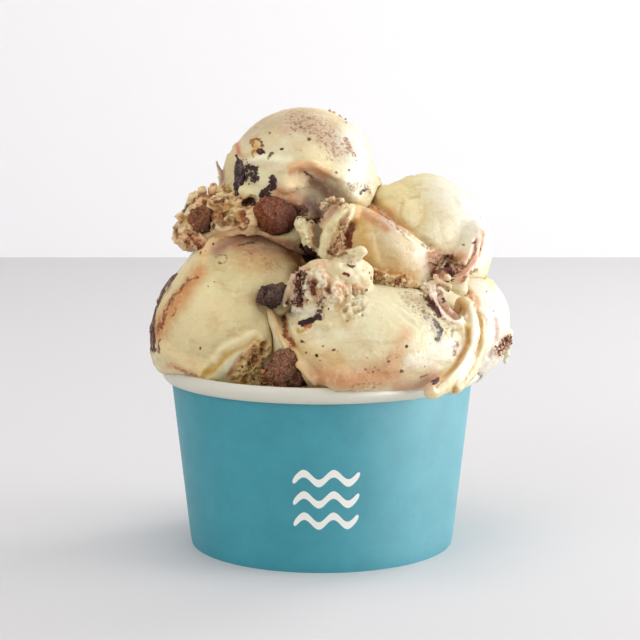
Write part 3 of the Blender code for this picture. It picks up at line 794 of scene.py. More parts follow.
LEFT["ink"] = {
    "brown streak": (3.2, (160, 98, 58), 0.5, 189, 279, 178, 293, 170, 305),
    "brown streak 2": (3.6, (146, 84, 48), 0.54, 174, 294, 165, 312, 158, 332),
    "dash": (2, (138, 66, 36), 0.75, 172, 299, 168, 307),
    "dash 2": (1.8, (138, 66, 36), 0.75, 165, 318, 162, 328),
    "dash 3": (1.8, (150, 84, 48), 0.7, 184, 284, 180, 290),
    "dash 4": (1.6, (160, 98, 60), 0.66, 176, 308, 173, 316),
    "dash 5": (2, (150, 92, 60), 0.66, 160, 340, 158, 352),
    "brown streak 3": (3, (170, 110, 66), 0.48, 196, 276, 186, 286),
    "dark edge": (3.6, (82, 42, 36), 0.95, 175, 273, 165, 287, 158, 300, 154, 314, 152.5, 332,
        153.5, 350),
    "crumb brown": (8, (150, 98, 54), 0.38, 258, 354, 248, 368, 243, 382),
    # Painted shade: near-black ink in the crevice between the scoops
    "crevice": (6, (50, 24, 20), 1, 303, 251, 309, 258, 315, 263),
    "pink crumbs": (3, (196, 128, 96), 0.5, 170, 366, 183, 371, 196, 375),
    "ring": (1.6, (128, 104, 70), 0.55, 216, 258, 220, 254, 227, 256, 225, 263, 218, 264),
    "thread": (1.6, (128, 88, 72), 0.6, 238, 246, 246, 243, 256, 241),
    "dots on tan": (9, (168, 118, 64), 0.32, 250, 254, 266, 262, 284, 266),
}
LEFT["specks"] = (188, 280, 1.5, 197, 277, 1.8, 202, 274, 1.2, 209, 286, 1.4, 215, 282, 1.1,
    243, 245, 1.5, 234, 321, 1.4, 200, 348, 1.6, 159, 344, 1.3, 251, 254, 1.1, 170, 364, 1.2,
    240, 311, 1, 224, 300, 0.9, 206, 312, 0.9, 186, 334, 1)

FRONT = {"base": (222, 208, 166)}
FRONT["rolls"] = {
    "outer lip": (0.8, 1, -0.2, 270, 311, 276, 323, 282, 336, 287, 346, 294, 356, 304, 370,
        316, 382),
    "inner lip": (0.9, 0.8, -0.2, 304, 271, 294, 278, 288, 288, 285, 300, 287, 312, 291, 326,
        297, 338),
    "flap": (1, 0.8, 0, 319, 263, 325, 275, 334, 282, 346, 287, 360, 288),
    "peak": (1.1, 1.5, 0.1, 334, 262, 345, 257, 354, 254, 361, 251),
    "lobe": (2.2, 1.6, -0.9, 340, 268, 350, 276, 358, 284),
    "rag 1": (0.8, 0.5, 0, 346, 292, 348, 304, 351, 318),
    "rag 2": (0.8, 0.6, 0, 335, 290, 337, 304, 339, 320),
    "rag 3": (0.6, 0.4, 0, 355, 294, 358, 310),
    "rag 4": (0.7, 0.5, 0, 326, 286, 328, 300),
    "fibre 1": (0.8, 0.5, 0.5, 304, 272, 304, 286, 307, 300),
    "fibre 2": (0.7, 0.5, 0.5, 312, 272, 310, 288, 313, 302),
    "fibre 3": (0.6, 0.5, 0.4, 297, 278, 295, 294),
    "fibre 4": (0.6, 0.4, 0.1, 319, 276, 319, 290, 324, 300),
    "shelf": (1.1, 1, -0.3, 292, 309, 302, 309, 314, 312),
    "blob": (1.9, 1.7, -0.4, 320, 325, 327, 327),
    "pit edge": (0.7, 0.9, 0.1, 424, 282, 430, 293, 436, 300, 440, 308, 446, 317, 452, 321,
        458, 320, 466, 315),
    "finger": (0.8, 1, 0.3, 432, 285, 440, 283, 448, 287),
    "finger 2": (0.9, 0.9, 1, 436, 277, 447, 277),
    "rib": (1, 0.7, 0, 471, 305, 473, 319, 473, 337, 470, 347, 465, 358, 457, 369, 447, 381),
}
FRONT["folds"] = {
    "groove inside the lip": (3.4, -1.1, 279, 308, 284, 321, 287, 334, 293, 346, 303, 360,
        315, 373),
    "pit of fibres": (9, -1.9, 301, 280, 301, 300),
    "pit of fibres 2": (6, -0.8, 317, 284, 321, 308),
    "slit": (3.2, -1, 301, 322, 310, 320, 320, 317),
    "under the flap": (3, -0.6, 330, 290, 344, 294, 362, 293),
    "under the peak": (3, -0.9, 343, 264, 352, 264, 358, 262),
    "under the blob": (4, -0.4, 300, 333, 315, 337, 330, 338),
    "pit on the right": (9, -2.2, 443, 294, 449, 305, 458, 310),
    "groove left of the rib": (2.6, -1.1, 467, 324, 468, 343, 463, 352, 457, 363, 448, 374,
        438, 386),
    "groove right of the rib": (2.8, -1.1, 476, 300, 480, 317, 482, 333, 480, 342, 475, 356,
        470, 370, 462, 382, 454, 391),
    "pull 1": (1.8, 0.25, 408, 298, 430, 313),
    "pull 2": (1.8, -0.3, 404, 303, 426, 317),
    "pull 3": (1.8, 0.22, 400, 309, 416, 322),
    "pull 4": (1.8, -0.25, 402, 316, 419, 329),
    "pull 5": (2, -0.22, 392, 300, 409, 312),
    "pull 6": (1.8, -0.35, 420, 294, 434, 306),
    "soft hollow": (16, -0.4, 352, 350, 384, 352),
}
FRONT["tears"] = {
    "fibres": (12, 1.1, 1.7, UPRIGHT, (96, 42, 36), (222, 178, 158), 300, 276, 300, 302),
    "rags": (22, 0.7, 2.3, UPRIGHT, (212, 184, 138), (234, 224, 194), 316, 284, 334, 296,
        352, 304),
    "right corner": (12, 0.5, 1.2, SLANTED, (176, 126, 100), (248, 232, 214), 420, 280, 430, 290),
    "pulled side": (13, 0.22, 1.1, SLANTED, (176, 158, 128), None, 412, 300, 430, 318, 446, 330),
    "peak": (8, 0.4, 1, EVEN, None, None, 336, 259, 352, 254),
}
FRONT["paint"] = {
    "white top": (34, (228, 218, 182), 0.9, 385, 300, 410, 312, 440, 345),
    "green white": (18, (222, 214, 176), 0.8, 352, 300, 366, 316, 372, 336),
    "gold left": (22, (222, 192, 134), 0.9, 298, 350, 315, 358, 335, 360),
    "tan bottom": (24, (204, 150, 104), 1, 318, 378, 350, 379, 372, 376, 390, 370),
    "tan tongue": (13, (220, 178, 134), 0.85, 392, 366, 400, 349, 404, 334),
    "pink low": (14, (204, 152, 124), 0.85, 398, 388, 420, 386, 434, 378),
    "pale low right": (15, (240, 232, 212), 0.8, 415, 362, 440, 356, 452, 348),
    "upper lobe": (18, (226, 214, 176), 1, 345, 268, 354, 280),
    "pink rags": (22, (208, 160, 126), 0.95, 304, 280, 318, 288, 336, 298),
    "olive middle": (15, (204, 178, 122), 0.9, 332, 302, 342, 306, 345, 320),
    "white left": (9, (222, 216, 190), 1, 292, 311, 306, 312, 314, 313),
    "flap edge": (5, (234, 186, 150), 1, 319, 262, 325, 276, 334, 283, 346, 288, 362, 289),
    "under the peak": (6, (186, 138, 92), 0.9, 332, 256, 342, 254),
    # The outer lip's cream-pink colour with a painted highlight along it
    "outer lip": (5, (226, 184, 130), 1, 268, 311, 275, 323, 281, 336, 287, 347, 294, 357,
        304, 371),
    "groove": (4, (186, 116, 66), 1, 279, 308, 284, 321, 287, 334, 293, 346),
    # The inner lip's pale pink colour with a painted highlight along it
    "inner lip": (4, (236, 206, 174), 1, 303, 271, 293, 280, 287, 290, 284.5, 300, 287, 312),
    "pit": (12, (196, 148, 128), 1, 437, 290, 444, 304, 454, 312),
    "pit right": (9, (204, 166, 116), 0.9, 456, 294, 462, 304, 466, 311),
    # Painted highlight along the ruffled lip of the pit
    "pit edge": (4, (248, 228, 210), 1, 424, 280, 432, 294, 438, 304, 446, 317, 455, 321,
        466, 315),
    "fingers": (5, (228, 184, 158), 0.9, 436, 277, 447, 278, 440, 284),
    "grey haze": (9, (190, 182, 164), 0.8, 426, 318, 436, 330, 438, 340),
    "rib light": (4, (250, 246, 222), 1, 472, 306, 473, 320, 473, 337, 470, 347, 466, 358,
        458, 369, 447, 381, 436, 391),
    "gold groove": (4, (214, 160, 56), 1, 467.5, 325, 468, 343),
    "orange groove": (4, (212, 156, 88), 1, 467, 343, 463, 352, 457, 363, 448, 374, 437, 388),
    "tan groove": (4.5, (206, 166, 108), 1, 476, 298, 480, 317, 482, 333, 480, 342, 475, 356,
        470, 370, 462, 382, 454, 392),
    "white ribs": (5, (250, 246, 230), 0.8, 478, 330, 474, 352, 462, 378),
}
FRONT["ink"] = {
    "fibres": (8, (88, 36, 32), 0.68, 301, 276, 299, 290, 299, 302),
    "fibres right": (4.5, (112, 44, 36), 0.7, 313, 282, 314, 292),
    "fibres low": (6, (96, 66, 56), 0.5, 323, 300, 319, 312),
    "flap spot": (3, (134, 90, 60), 0.6, 326, 288, 330, 292),
    "slit": (4, (54, 34, 36), 1, 301, 323, 310, 320.5, 320, 317),
    "orange bit": (2.4, (200, 110, 74), 0.7, 305, 327, 312, 325.5),
    "yellow bit": (2.4, (218, 170, 84), 0.7, 299, 331, 306, 329.5),
    "in the groove": (4, (146, 78, 40), 0.62, 280, 310, 285, 320, 286, 333, 293, 345),
    "lobe spot": (2, (122, 44, 34), 1, 344, 273, 348, 275),
    "under the peak": (1.8, (70, 40, 30), 1, 350, 264, 353, 265),
    "peak spot": (3, (150, 98, 58), 0.6, 338, 256, 346, 254),
    "cherry streak": (4, (88, 46, 50), 0.82, 427, 297, 433, 307, 439, 316),
    "cherry thread": (2.4, (136, 92, 80), 0.7, 420, 290, 428, 299),
    "grey smear": (3.6, (96, 90, 88), 0.68, 435, 321, 441, 331, 437, 340),
    "slot": (2.4, (58, 28, 22), 1, 447, 300, 450, 297),
    "purple bit": (2.2, (84, 60, 68), 0.8, 433, 383, 439, 379.5),
    "pink thread": (1.8, (204, 104, 100), 0.7, 421, 377, 426, 375.5),
    "pink dots": (4, (196, 146, 134), 0.5, 458, 342, 454, 353),
    "pulls": (9, (150, 124, 96), 0.34, 404, 296, 420, 308, 432, 318),
    "low dots": (9, (150, 96, 60), 0.3, 396, 352, 384, 364, 368, 372),
    "rim side": (6, (176, 116, 76), 0.34, 352, 386, 384, 384),
}
FRONT["specks"] = (302, 341, 1.7, 305, 342, 1.2, 323.5, 345, 1.4, 306, 352.5, 1.5, 316, 355, 2,
    320, 359.5, 1.4, 333.5, 351, 1.5, 337.5, 351, 1.2, 367, 358, 1, 348, 321, 1.5, 366.7, 290, 1.5,
    347.6, 295, 1.5, 407, 346, 1.8, 398, 357.5, 1.5, 388.5, 361.5, 1.6, 402, 362, 1, 402, 371, 1.5,
    374, 372, 1.3, 366, 370, 1.1, 435.5, 322, 1.5, 442.5, 330.5, 2, 438, 333, 1.4, 436.6, 339, 2,
    430, 343, 1, 454, 392, 1.5, 360, 330, 0.9, 382, 318, 0.9, 418, 352, 1, 424, 366, 1.2)

TOP = {"base": (216, 202, 162), "presses": ((26, -3.3, 389, 165), (17, -1, 226, 156))}
TOP["rolls"] = {
    "fold lip": (1, 1.3, 0, 293, 168, 303, 163, 312, 164, 323, 170, 332, 174, 344, 180),
    "bulge in the hollow": (2.2, 2, -0.6, 286, 186, 296, 182, 306, 181),
    "tongue": (1.6, 1.6, -0.4, 238, 188, 248, 193, 258, 199),
    "cream ridge": (1.2, 1, -0.5, 246, 165, 262, 160, 276, 162),
    "side spike": (0.9, 0.5, 0, 222, 190, 222, 178, 221, 170, 219, 162),
    "frill spike": (1.2, 0.3, 0, 184, 229, 179, 228, 173, 227),
    "frill spike 2": (0.9, 0.4, 0, 204, 196, 202, 191, 200, 188),
    "frill spike 3": (1, 0.5, 0, 212, 192, 213, 187, 213, 184),
    "frill drop": (0.8, 0.5, 0.2, 185, 236, 184, 244, 185, 248),
    "strand 1": (0.9, 0.7, 1, 184, 226, 190, 238, 200, 250),
    "strand 2": (0.9, 0.6, 1.2, 190, 222, 196, 236, 204, 248),
    "strand 3": (0.8, 0.6, 0.4, 181, 218, 184, 230),
    "strand 4": (0.9, 0.6, 1.2, 196, 232, 206, 242, 212, 240),
    "swirl": (1, 0.8, 1, 220, 216, 226, 207, 236, 205, 241, 212, 236, 219, 227, 219),
    "swirl 2": (1.1, 0.9, 0.9, 214, 200, 226, 197, 238, 199, 246, 206),
    "ruffle": (1, 0.8, 1, 197, 208, 203, 200, 211, 200, 218, 206),
    "ruffle 2": (1.1, 0.9, 0.8, 214, 224, 222, 228, 234, 226, 244, 222),
    "by the brownie": (1.2, 1, 0.4, 253, 206, 250, 214, 252, 222),
}
TOP["folds"] = {
    "hollow": (11, -1.6, 300, 180, 315, 188, 328, 196),
    "under the lip": (3.6, -0.9, 300, 172, 312, 172, 322, 178, 334, 184),
    "hole": (4, -1.6, 244, 203, 252, 201),
    "crevice": (6, -1, 304, 246, 311, 255),
    "soft dent": (10, -0.35, 330, 128, 340, 150),
}
TOP["tears"] = {
    "frill": (25, 1, 4.2, SLANTED, (150, 88, 48), (230, 202, 152), 184, 226, 196, 212, 210, 202,
        232, 208, 244, 214),
    "frill fine": (22, 0.22, 1.9, SLANTED, (184, 124, 76), None, 184, 228, 196, 214, 214, 204,
        236, 212),
    "crumbs at the left edge": (9, 0.5, 1.3, EVEN, (150, 82, 50), (232, 186, 150), 183, 236,
        190, 246, 200, 252),
    "purple crumb": (9, 0.5, 1.1, EVEN, (74, 42, 36), None, 298, 210, 306, 220),
    "froth": (7, 0.5, 1, EVEN, None, (244, 240, 218), 352, 187, 368, 187),
}
TOP["paint"] = {
    "left shade": (22, (204, 184, 134), 0.8, 228, 150, 226, 175, 232, 192),
    "grey tan top": (18, (194, 172, 138), 0.9, 248, 132, 270, 122, 300, 116),
    "freckled pink": (24, (204, 174, 142), 0.95, 296, 122, 318, 128, 338, 146),
    "white side": (24, (230, 227, 210), 1, 352, 138, 360, 160, 356, 182),
    "yellow tinge": (12, (236, 222, 178), 0.7, 310, 152, 324, 158),
    "green white": (12, (222, 216, 176), 0.8, 262, 176, 258, 188),
    # Painted highlight along the cream lip
    "cream lip": (7, (240, 232, 200), 0.8, 248, 164, 262, 160, 290, 160),
    "peach fold": (6, (226, 178, 132), 1, 290, 166, 303, 162, 314, 164, 326, 172),
    # Lip underside, hollow tan, hollow mauve and hollow dark: painted shade under the fold lip and
    # in the hollow, over the hollow's own tan and brown colour
    "lip underside": (6, (208, 150, 106), 1, 292, 172, 303, 169, 314, 170, 325, 177),
    "hollow tan": (15, (200, 148, 104), 1, 280, 192, 296, 200, 305, 204),
    "hollow cream": (11, (232, 206, 158), 1, 288, 182, 302, 182),
    "hollow mauve": (15, (152, 116, 96), 1, 314, 182, 326, 188, 334, 200),
    "hollow dark": (13, (118, 78, 62), 1, 310, 203, 318, 214),
    "crumb gold": (7, (214, 170, 92), 1, 256, 142, 257, 153),
    "shard tip": (5, (194, 116, 84), 1, 238, 145, 240, 154),
    "grey chunk": (9, (168, 146, 128), 0.8, 250, 168, 253, 180),
    "side edge": (4, (160, 122, 104), 1, 219, 162, 222, 172, 223, 184, 221, 191),
    "tongue": (9, (226, 216, 172), 1, 240, 188, 254, 198),
    "band under the frill": (9, (224, 182, 136), 1, 190, 262, 208, 241, 232, 233, 262, 235,
        280, 240),
    "band by the crevice": (8, (164, 118, 92), 1, 268, 238, 286, 244, 302, 252),
    "frill gold": (28, (208, 170, 110), 1, 184, 226, 198, 214, 212, 206, 230, 208, 246, 214),
    "frill cream": (7, (224, 200, 146), 1, 214, 197, 226, 196, 240, 200),
    "frill olive": (10, (200, 172, 106), 0.9, 222, 208, 236, 214),
    "frill peach": (9, (224, 170, 126), 1, 198, 204, 206, 198, 214, 192),
    "frill top": (6, (212, 158, 112), 1, 204, 188, 212, 186),
    "frill rust": (10, (206, 134, 92), 0.9, 190, 238, 204, 244),
    "frill white": (6, (224, 216, 184), 0.9, 185, 208, 192, 212),
    "frill spike": (5, (186, 156, 138), 1, 173, 227, 182, 228),
    "peach by the brownie": (6, (228, 168, 128), 1, 254, 207, 250, 216, 251, 224),
    "rust patch": (7, (178, 106, 64), 0.9, 243, 214, 246, 224),
    "round the cookie": (7, (176, 112, 66), 0.9, 196, 212, 206, 208, 216, 216),
}
TOP["ink"] = {
    "freckles": (20, (156, 116, 92), 0.38, 298, 122, 318, 128, 340, 148),
    "brown streak": (4, (190, 132, 92), 0.6, 345, 139, 350, 149, 354.5, 155.5),
    "orange dash": (1.6, (222, 170, 130), 0.55, 326, 157, 333, 159),
    "chunk": (4, (58, 44, 40), 0.8, 248, 167, 255, 168, 256, 172),
    "chunk low": (4, (58, 44, 42), 0.7, 246, 178, 251, 175, 256, 179),
    "shard two": (3.6, (70, 46, 52), 1, 273, 178, 273, 187),
    "shard two foot": (3.8, (70, 44, 48), 1, 262, 194, 267, 190, 274, 188),
    "crumb edge": (2.6, (140, 88, 40), 0.6, 251, 141, 258, 139, 263, 146),
    "crumb dark": (3.4, (60, 32, 22), 1, 259, 151, 262, 152),
    "olive bit": (2.8, (110, 98, 56), 0.7, 269, 158, 273, 153),
    "frill edge": (3, (100, 72, 58), 0.6, 200, 196, 192, 202, 185, 206, 183, 212),
    # Painted shade in the hole of the frill, over its dark brown
    "frill hole": (4.6, (72, 44, 26), 1, 244, 203, 249, 200, 253, 203),
    "frill hole 2": (3, (126, 80, 40), 0.7, 216, 202, 224, 200),
    "frill brown": (6, (150, 100, 50), 0.42, 226, 214, 234, 222, 214, 226),
    "frill foot": (4, (156, 84, 54), 0.56, 188, 234, 198, 246, 203, 252),
    "rust patch": (5, (150, 78, 44), 0.6, 243, 213, 246, 222),
    "round the cookie": (5, (140, 80, 44), 0.6, 196, 213, 205, 209, 213, 216),
    "crumb line": (5, (70, 40, 34), 0.68, 296, 214, 306, 221, 318, 220),
    "purple crumb": (6, (104, 66, 58), 0.6, 296, 208, 304, 210),
    # Painted shade: near-black ink in the crevice between the scoops
    "crevice": (6, (50, 24, 20), 1, 304, 247, 310, 254, 317, 258),
    "lip spots": (2.4, (96, 62, 44), 0.6, 303, 171, 312, 178),
}
TOP["specks"] = (282, 150, 1.9, 283.5, 148.5, 1.2, 271, 153.5, 1.4, 269.6, 132.5, 1.1,
    308.8, 140, 1.7, 305.6, 127, 1.3, 309.8, 126.8, 1.2, 302, 127, 1.5, 357, 160.4, 1.1,
    349.6, 170, 1.4, 346, 122, 1.1, 336, 172, 1.5, 364, 191, 2.4, 361, 193, 1.7, 367, 190, 1.7,
    231, 187, 1.2, 204, 196, 1.3, 190, 222, 1.4, 222, 205, 1.2, 230, 216, 1.2, 318, 136, 1.2,
    326, 142, 1.1, 290, 134, 1, 300, 150, 1, 244, 160, 1)

RIGHT = {"base": (218, 204, 160)}
RIGHT["rolls"] = {
    "petal edge": (0.9, 0.8, 0.1, 360, 197, 368, 201, 377, 208.5, 387, 216, 394, 223, 404, 233,
        414, 240.5, 423, 246.5, 431, 252),
    "petal foot": (0.9, 0.8, -0.3, 370, 270, 384, 276, 400, 281, 418, 283),
    "strip": (1.5, 1.1, 0.1, 321, 261, 323, 248, 326, 234, 334, 221, 340, 213, 347, 207),
    "strip back": (1.4, 1.2, -0.2, 324, 224, 330, 214, 336, 206),
    "tip": (1, 0.7, 0.4, 346, 226, 350, 217, 352.5, 205),
    "brown flake": (1.1, 0.9, 0, 334, 254, 337, 242, 341, 230),
    "ragged top": (0.9, 0.8, 0, 324, 206, 331, 200, 342, 202),
    "small flake": (1.5, 0.8, 0.2, 300, 224, 305, 235, 311, 248),
    "small flake 2": (0.8, 0.8, 0, 311, 224, 312, 236),
    "bead": (1.5, 1.4, 0.2, 349, 196, 353, 195),
    "crumb 1": (0.8, 0.6, 0.1, 378, 277, 384, 279),
    "crumb 2": (0.8, 0.6, 0.1, 390, 284, 398, 285),
    "crumb 3": (0.8, 0.6, 0.1, 404, 287, 411, 287),
    "cavity ridge": (0.8, 0.6, 0, 436, 272, 446, 263, 458, 254, 464, 246),
    "side ridge": (1.2, 0.9, 0.1, 482, 234, 480, 250, 475, 262, 468, 271, 460, 279),
}
RIGHT["folds"] = {
    "behind the edge": (3.4, -1.9, 368, 196, 382, 206, 394, 216, 404, 226, 416, 236, 430, 246),
    "petal crease": (3, -0.35, 372, 224, 376, 234, 377.5, 245, 380, 256),
    "brown groove": (4.5, -1.6, 347, 246, 348, 236, 352, 224),
    "strip groove": (2.6, -1, 330, 254, 334, 238, 342, 222),
    "left groove": (2.4, -1, 317, 242, 318, 230, 322, 220),
    "cavity": (9, -2.2, 436, 264, 447, 268, 457, 268),
    "side line": (2.4, -0.9, 476.5, 240, 474, 252, 470, 262, 463, 268),
}
RIGHT["tears"] = {
    "ragged top": (8, 0.6, 1.5, EVEN, (176, 126, 92), (238, 204, 172), 322, 208, 331, 200,
        344, 203),
    "brown flake": (9, 0.6, 1.5, EVEN, (144, 84, 42), (214, 158, 114), 334, 254, 341, 238,
        347, 226),
    "petal foot": (10, 0.5, 2, SLANTED, (176, 120, 70), (240, 212, 168), 370, 274, 386, 279,
        412, 286),
    "cavity": (11, 0.6, 1.8, SLANTED, (140, 86, 60), (228, 176, 148), 434, 262, 447, 266,
        460, 268),
    "small flake": (8, 0.4, 1, EVEN, None, None, 300, 224, 306, 236, 311, 247),
}
RIGHT["paint"] = {
    "pale right": (40, (228, 221, 202), 1, 452, 186, 472, 214, 484, 245),
    "olive left": (22, (214, 196, 140), 0.8, 372, 200, 386, 188, 402, 186),
    "peach tint": (12, (220, 182, 128), 0.8, 372, 204, 390, 212),
    "peach streak": (4.5, (212, 152, 106), 1, 387, 212, 395, 219.5, 403, 227.5, 409, 233),
    "vein": (3, (200, 168, 110), 0.7, 403.5, 200, 401, 213, 403.5, 223),
    "vein 2": (3, (190, 164, 104), 0.7, 410, 199, 419, 195),
    "vein 3": (3, (210, 184, 130), 0.6, 425, 205, 423, 222, 414, 230),
    "pink faint": (6, (226, 206, 186), 0.8, 457, 196, 459, 206),
    "petal": (36, (212, 184, 132), 1, 356, 222, 366, 250, 392, 262, 416, 270),
    "petal smooth": (17, (208, 174, 108), 1, 361, 222, 364, 240, 368, 258),
    "petal pale": (18, (226, 208, 172), 1, 390, 236, 412, 252, 424, 264),
    "petal white end": (10, (236, 224, 204), 1, 420, 254, 427, 266, 424, 278),
    # Along the petal edge: a peach painted highlight on the edge, painted shadow just inside it,
    # and a painted highlight further down
    "edge peach": (7, (220, 162, 118), 1, 358, 194, 368, 201, 377, 209, 388, 218),
    "edge inside": (8, (200, 142, 98), 0.9, 364, 212, 374, 220, 386, 229),
    "edge mauve": (4.5, (214, 186, 168), 1, 384, 218, 391, 224, 397, 231),
    "edge light": (4.5, (250, 236, 206), 1, 398, 228, 404, 233, 414, 240.5, 423, 246.5, 432, 252),
    "yellow corner": (7, (206, 152, 66), 0.9, 358, 206, 358, 220),
    "petal gold": (11, (196, 144, 76), 1, 356, 262, 372, 270, 390, 274, 405, 277),
    "foot light": (6, (230, 198, 152), 0.9, 392, 285, 404, 288, 414, 288),
    "cavity": (12, (206, 154, 116), 1, 434, 256, 447, 258, 462, 258),
    "cavity low": (11, (170, 114, 84), 1, 433, 270, 445, 274, 458, 272),
    "side pink": (8, (228, 178, 150), 1, 482, 232, 478, 250, 470, 266, 460, 279),
    "side cream": (7, (246, 232, 210), 0.8, 486, 250, 480, 266),
    "flakes": (16, (206, 178, 136), 1, 318, 254, 326, 232, 338, 214, 348, 208),
    "strip back": (7, (190, 148, 118), 1, 322, 222, 329, 212, 337, 207),
    "mauve wide": (6, (194, 150, 120), 1, 342, 222, 347, 212),
    "strip": (6, (222, 212, 164), 1, 321, 261, 323, 248, 327, 234, 335, 220, 345, 209, 352, 204),
    "tip": (4.5, (242, 230, 188), 1, 347, 224, 350.5, 216, 352.5, 204),
    "brown core": (6.5, (150, 84, 36), 1, 347, 248, 349, 236, 353, 224),
    "small flake": (6, (230, 218, 172), 1, 300, 223, 304, 236, 309, 247),
    "small flake tan": (4, (216, 168, 122), 1, 312, 226, 313, 244),
}
RIGHT["ink"] = {
    "edge line": (2, (200, 138, 98), 0.52, 362, 199, 377, 210, 394, 225, 404, 234),
    "brown core": (4, (118, 58, 24), 0.9, 348, 246, 350, 234, 353, 226),
    "brown flake": (6, (146, 84, 48), 0.5, 335, 252, 340, 240, 344, 230),
    "foot crumbs": (6, (156, 98, 58), 0.44, 374, 275, 388, 280, 402, 284),
    "cavity": (9, (150, 96, 66), 0.44, 434, 262, 444, 264, 458, 266),
    "cavity dark": (4.6, (88, 46, 54), 0.95, 446, 268, 452, 272, 449, 278),
    "cavity left": (5, (104, 58, 34), 0.8, 432, 274, 438, 270),
    "cavity dots": (5, (104, 58, 36), 0.46, 442, 258, 452, 256),
    "side line": (2.2, (150, 100, 76), 0.56, 476, 240, 474, 252, 470, 262, 463, 268),
    "side line 2": (2.4, (140, 88, 62), 0.62, 476, 269, 469, 275, 461, 282),
    # Painted shade below the finger
    "under": (4, (70, 40, 26), 0.9, 444, 281, 452, 279),
    "flake orange": (3, (226, 130, 82), 1, 317, 228, 320, 231),
    # Painted shade: near-black ink in the crevice between the scoops
    "crevice": (6, (44, 20, 18), 1, 306, 250, 313, 256, 319, 261),
    "top crumbs": (5, (160, 108, 78), 0.42, 326, 205, 334, 200, 342, 204),
}
RIGHT["specks"] = (447, 256.5, 1.9, 452, 258, 1.6, 442, 262.6, 1.5, 436, 265, 1.9, 462.7, 245, 1.5,
    473.4, 243, 1.8, 480.7, 249, 1.5, 480, 217, 1.1, 338, 238, 1.9, 332, 254, 1.9, 462, 236, 1.1,
    449, 219, 1, 454, 220.5, 1, 381, 258, 1.1, 384, 262, 1.2, 335, 200, 1.5, 339, 202, 1.2,
    420, 212, 0.9, 396, 206, 0.9)

REAR = {"base": (240, 230, 194)}
REAR["rolls"] = {
    "side tongue": (0.6, 0.7, 0, 505, 362, 507, 354, 509, 346, 511, 338),
    "side crumb": (0.9, 0.8, 0.2, 497, 350, 502, 344, 508, 338),
}
REAR["folds"] = {
    "crease": (2.4, -0.8, 496, 320, 496, 332, 494, 344, 489, 357),
    "outer roll": (6, 0.3, 500, 296, 502, 312, 501, 330),
}
REAR["tears"] = {
    "side crumb": (8, 0.5, 0.9, EVEN, (130, 66, 40), (240, 214, 184), 500, 350, 508, 340),
    "by the ribs": (7, 0.3, 1, EVEN, None, None, 462, 286, 470, 294),
}
REAR["paint"] = {
    "pale side": (34, (228, 220, 206), 1, 492, 270, 492, 310, 486, 350, 474, 384),
    "crease": (3.4, (210, 182, 166), 1, 496, 320, 496, 332, 494, 344, 489, 357),
    "yellow bit": (6, (240, 238, 150), 1, 488, 279, 493, 284),
    "tan groove": (5, (210, 172, 116), 1, 476, 298, 480, 317, 482, 333, 480, 342, 475, 356,
        470, 370, 462, 382),
    "hollow": (11, (200, 154, 108), 1, 458, 284, 468, 294, 474, 304),
    "side crumb": (7, (206, 150, 112), 1, 498, 352, 509, 339),
}
REAR["ink"] = {
    "side crumb": (5, (142, 66, 42), 0.62, 500, 349, 506, 342, 510, 337),
    "side specks": (7, (196, 172, 150), 0.3, 488, 300, 492, 324),
}
REAR["specks"] = (500, 352.5, 1.8, 464, 284, 1.6, 487, 291, 1, 494, 310, 0.9)


# ---- Gelato and crumbs ----


def ripple(scoop, seed):
    """Ripple drawn out over the parts that the camera doesn't see: streaks in long folds."""
    hidden = 1 - smoothstep(-0.1, 0.25, scoop.facing)
    stretch = np.array([0.8, 0.8, 2.4])
    bend = scoop.co * stretch + 0.005 * churn(scoop.co, 14 * MM, seed + 3, 2)[:, None]
    band = churn(bend, 17 * MM, seed, 2)
    line = np.abs(band) + 0.02 * churn(scoop.co, 2 * MM, seed + 8, 3)
    patches = smoothstep(-0.2, 0.6, churn(scoop.co, 11 * MM, seed + 5, 2))
    scoop.tint(hidden * 0.7 * smoothstep(0.1, 0.9, churn(scoop.co, 16 * MM, seed + 20, 3)), TAN)
    scoop.tint(hidden * 0.6 * smoothstep(0.3, 0.9, -band), PALE)
    scoop.tint(hidden * (0.2 + 0.5 * patches) * smoothstep(0.2, 0.0, line), CARAMEL)
    scoop.ink(hidden * 0.75 * smoothstep(0.05, 0.0, line) * patches, UMBER)
    spots = smoothstep(0.62, 0.8, lattice(scoop.co, 1.7 * MM, seed + 11))
    rare = smoothstep(0.1, 0.5, churn(scoop.co, 9 * MM, seed + 12, 2))
    scoop.ink(hidden * 0.7 * spots * rare, RUST)
    crest = smoothstep(0.0, 0.12, band) * smoothstep(0.34, 0.12, band)
    scoop.lift(hidden * MM * (0.45 * crest - 0.35 * smoothstep(0.16, 0.0, line)))


def soft_variation(scoop, seed):
    """Broad, faint changes of colour and level."""
    broad = churn(scoop.co, 14 * MM, seed, 4)
    scoop.tint(0.35 * smoothstep(0.0, 1.0, broad), BUTTER)
    scoop.tint(0.35 * smoothstep(0.1, 1.0, -broad), PALE)
    blush = churn(scoop.co * np.array([1.0, 1.0, 1.8]), 9 * MM, seed + 2, 3)
    scoop.tint(0.22 * smoothstep(0.2, 1.0, blush), PEACH)
    scoop.tint(0.18 * smoothstep(0.2, 1.0, -blush), OLIVE)
    scoop.lift(0.16 * MM * churn(scoop.co, 7 * MM, seed + 7, 3)
               + 0.07 * MM * churn(scoop.co, 1.8 * MM, seed + 9, 3))


SPECK_SMALL = np.array(tone(150, 108, 72))
SPECK_LARGE = np.array(tone(74, 50, 40))


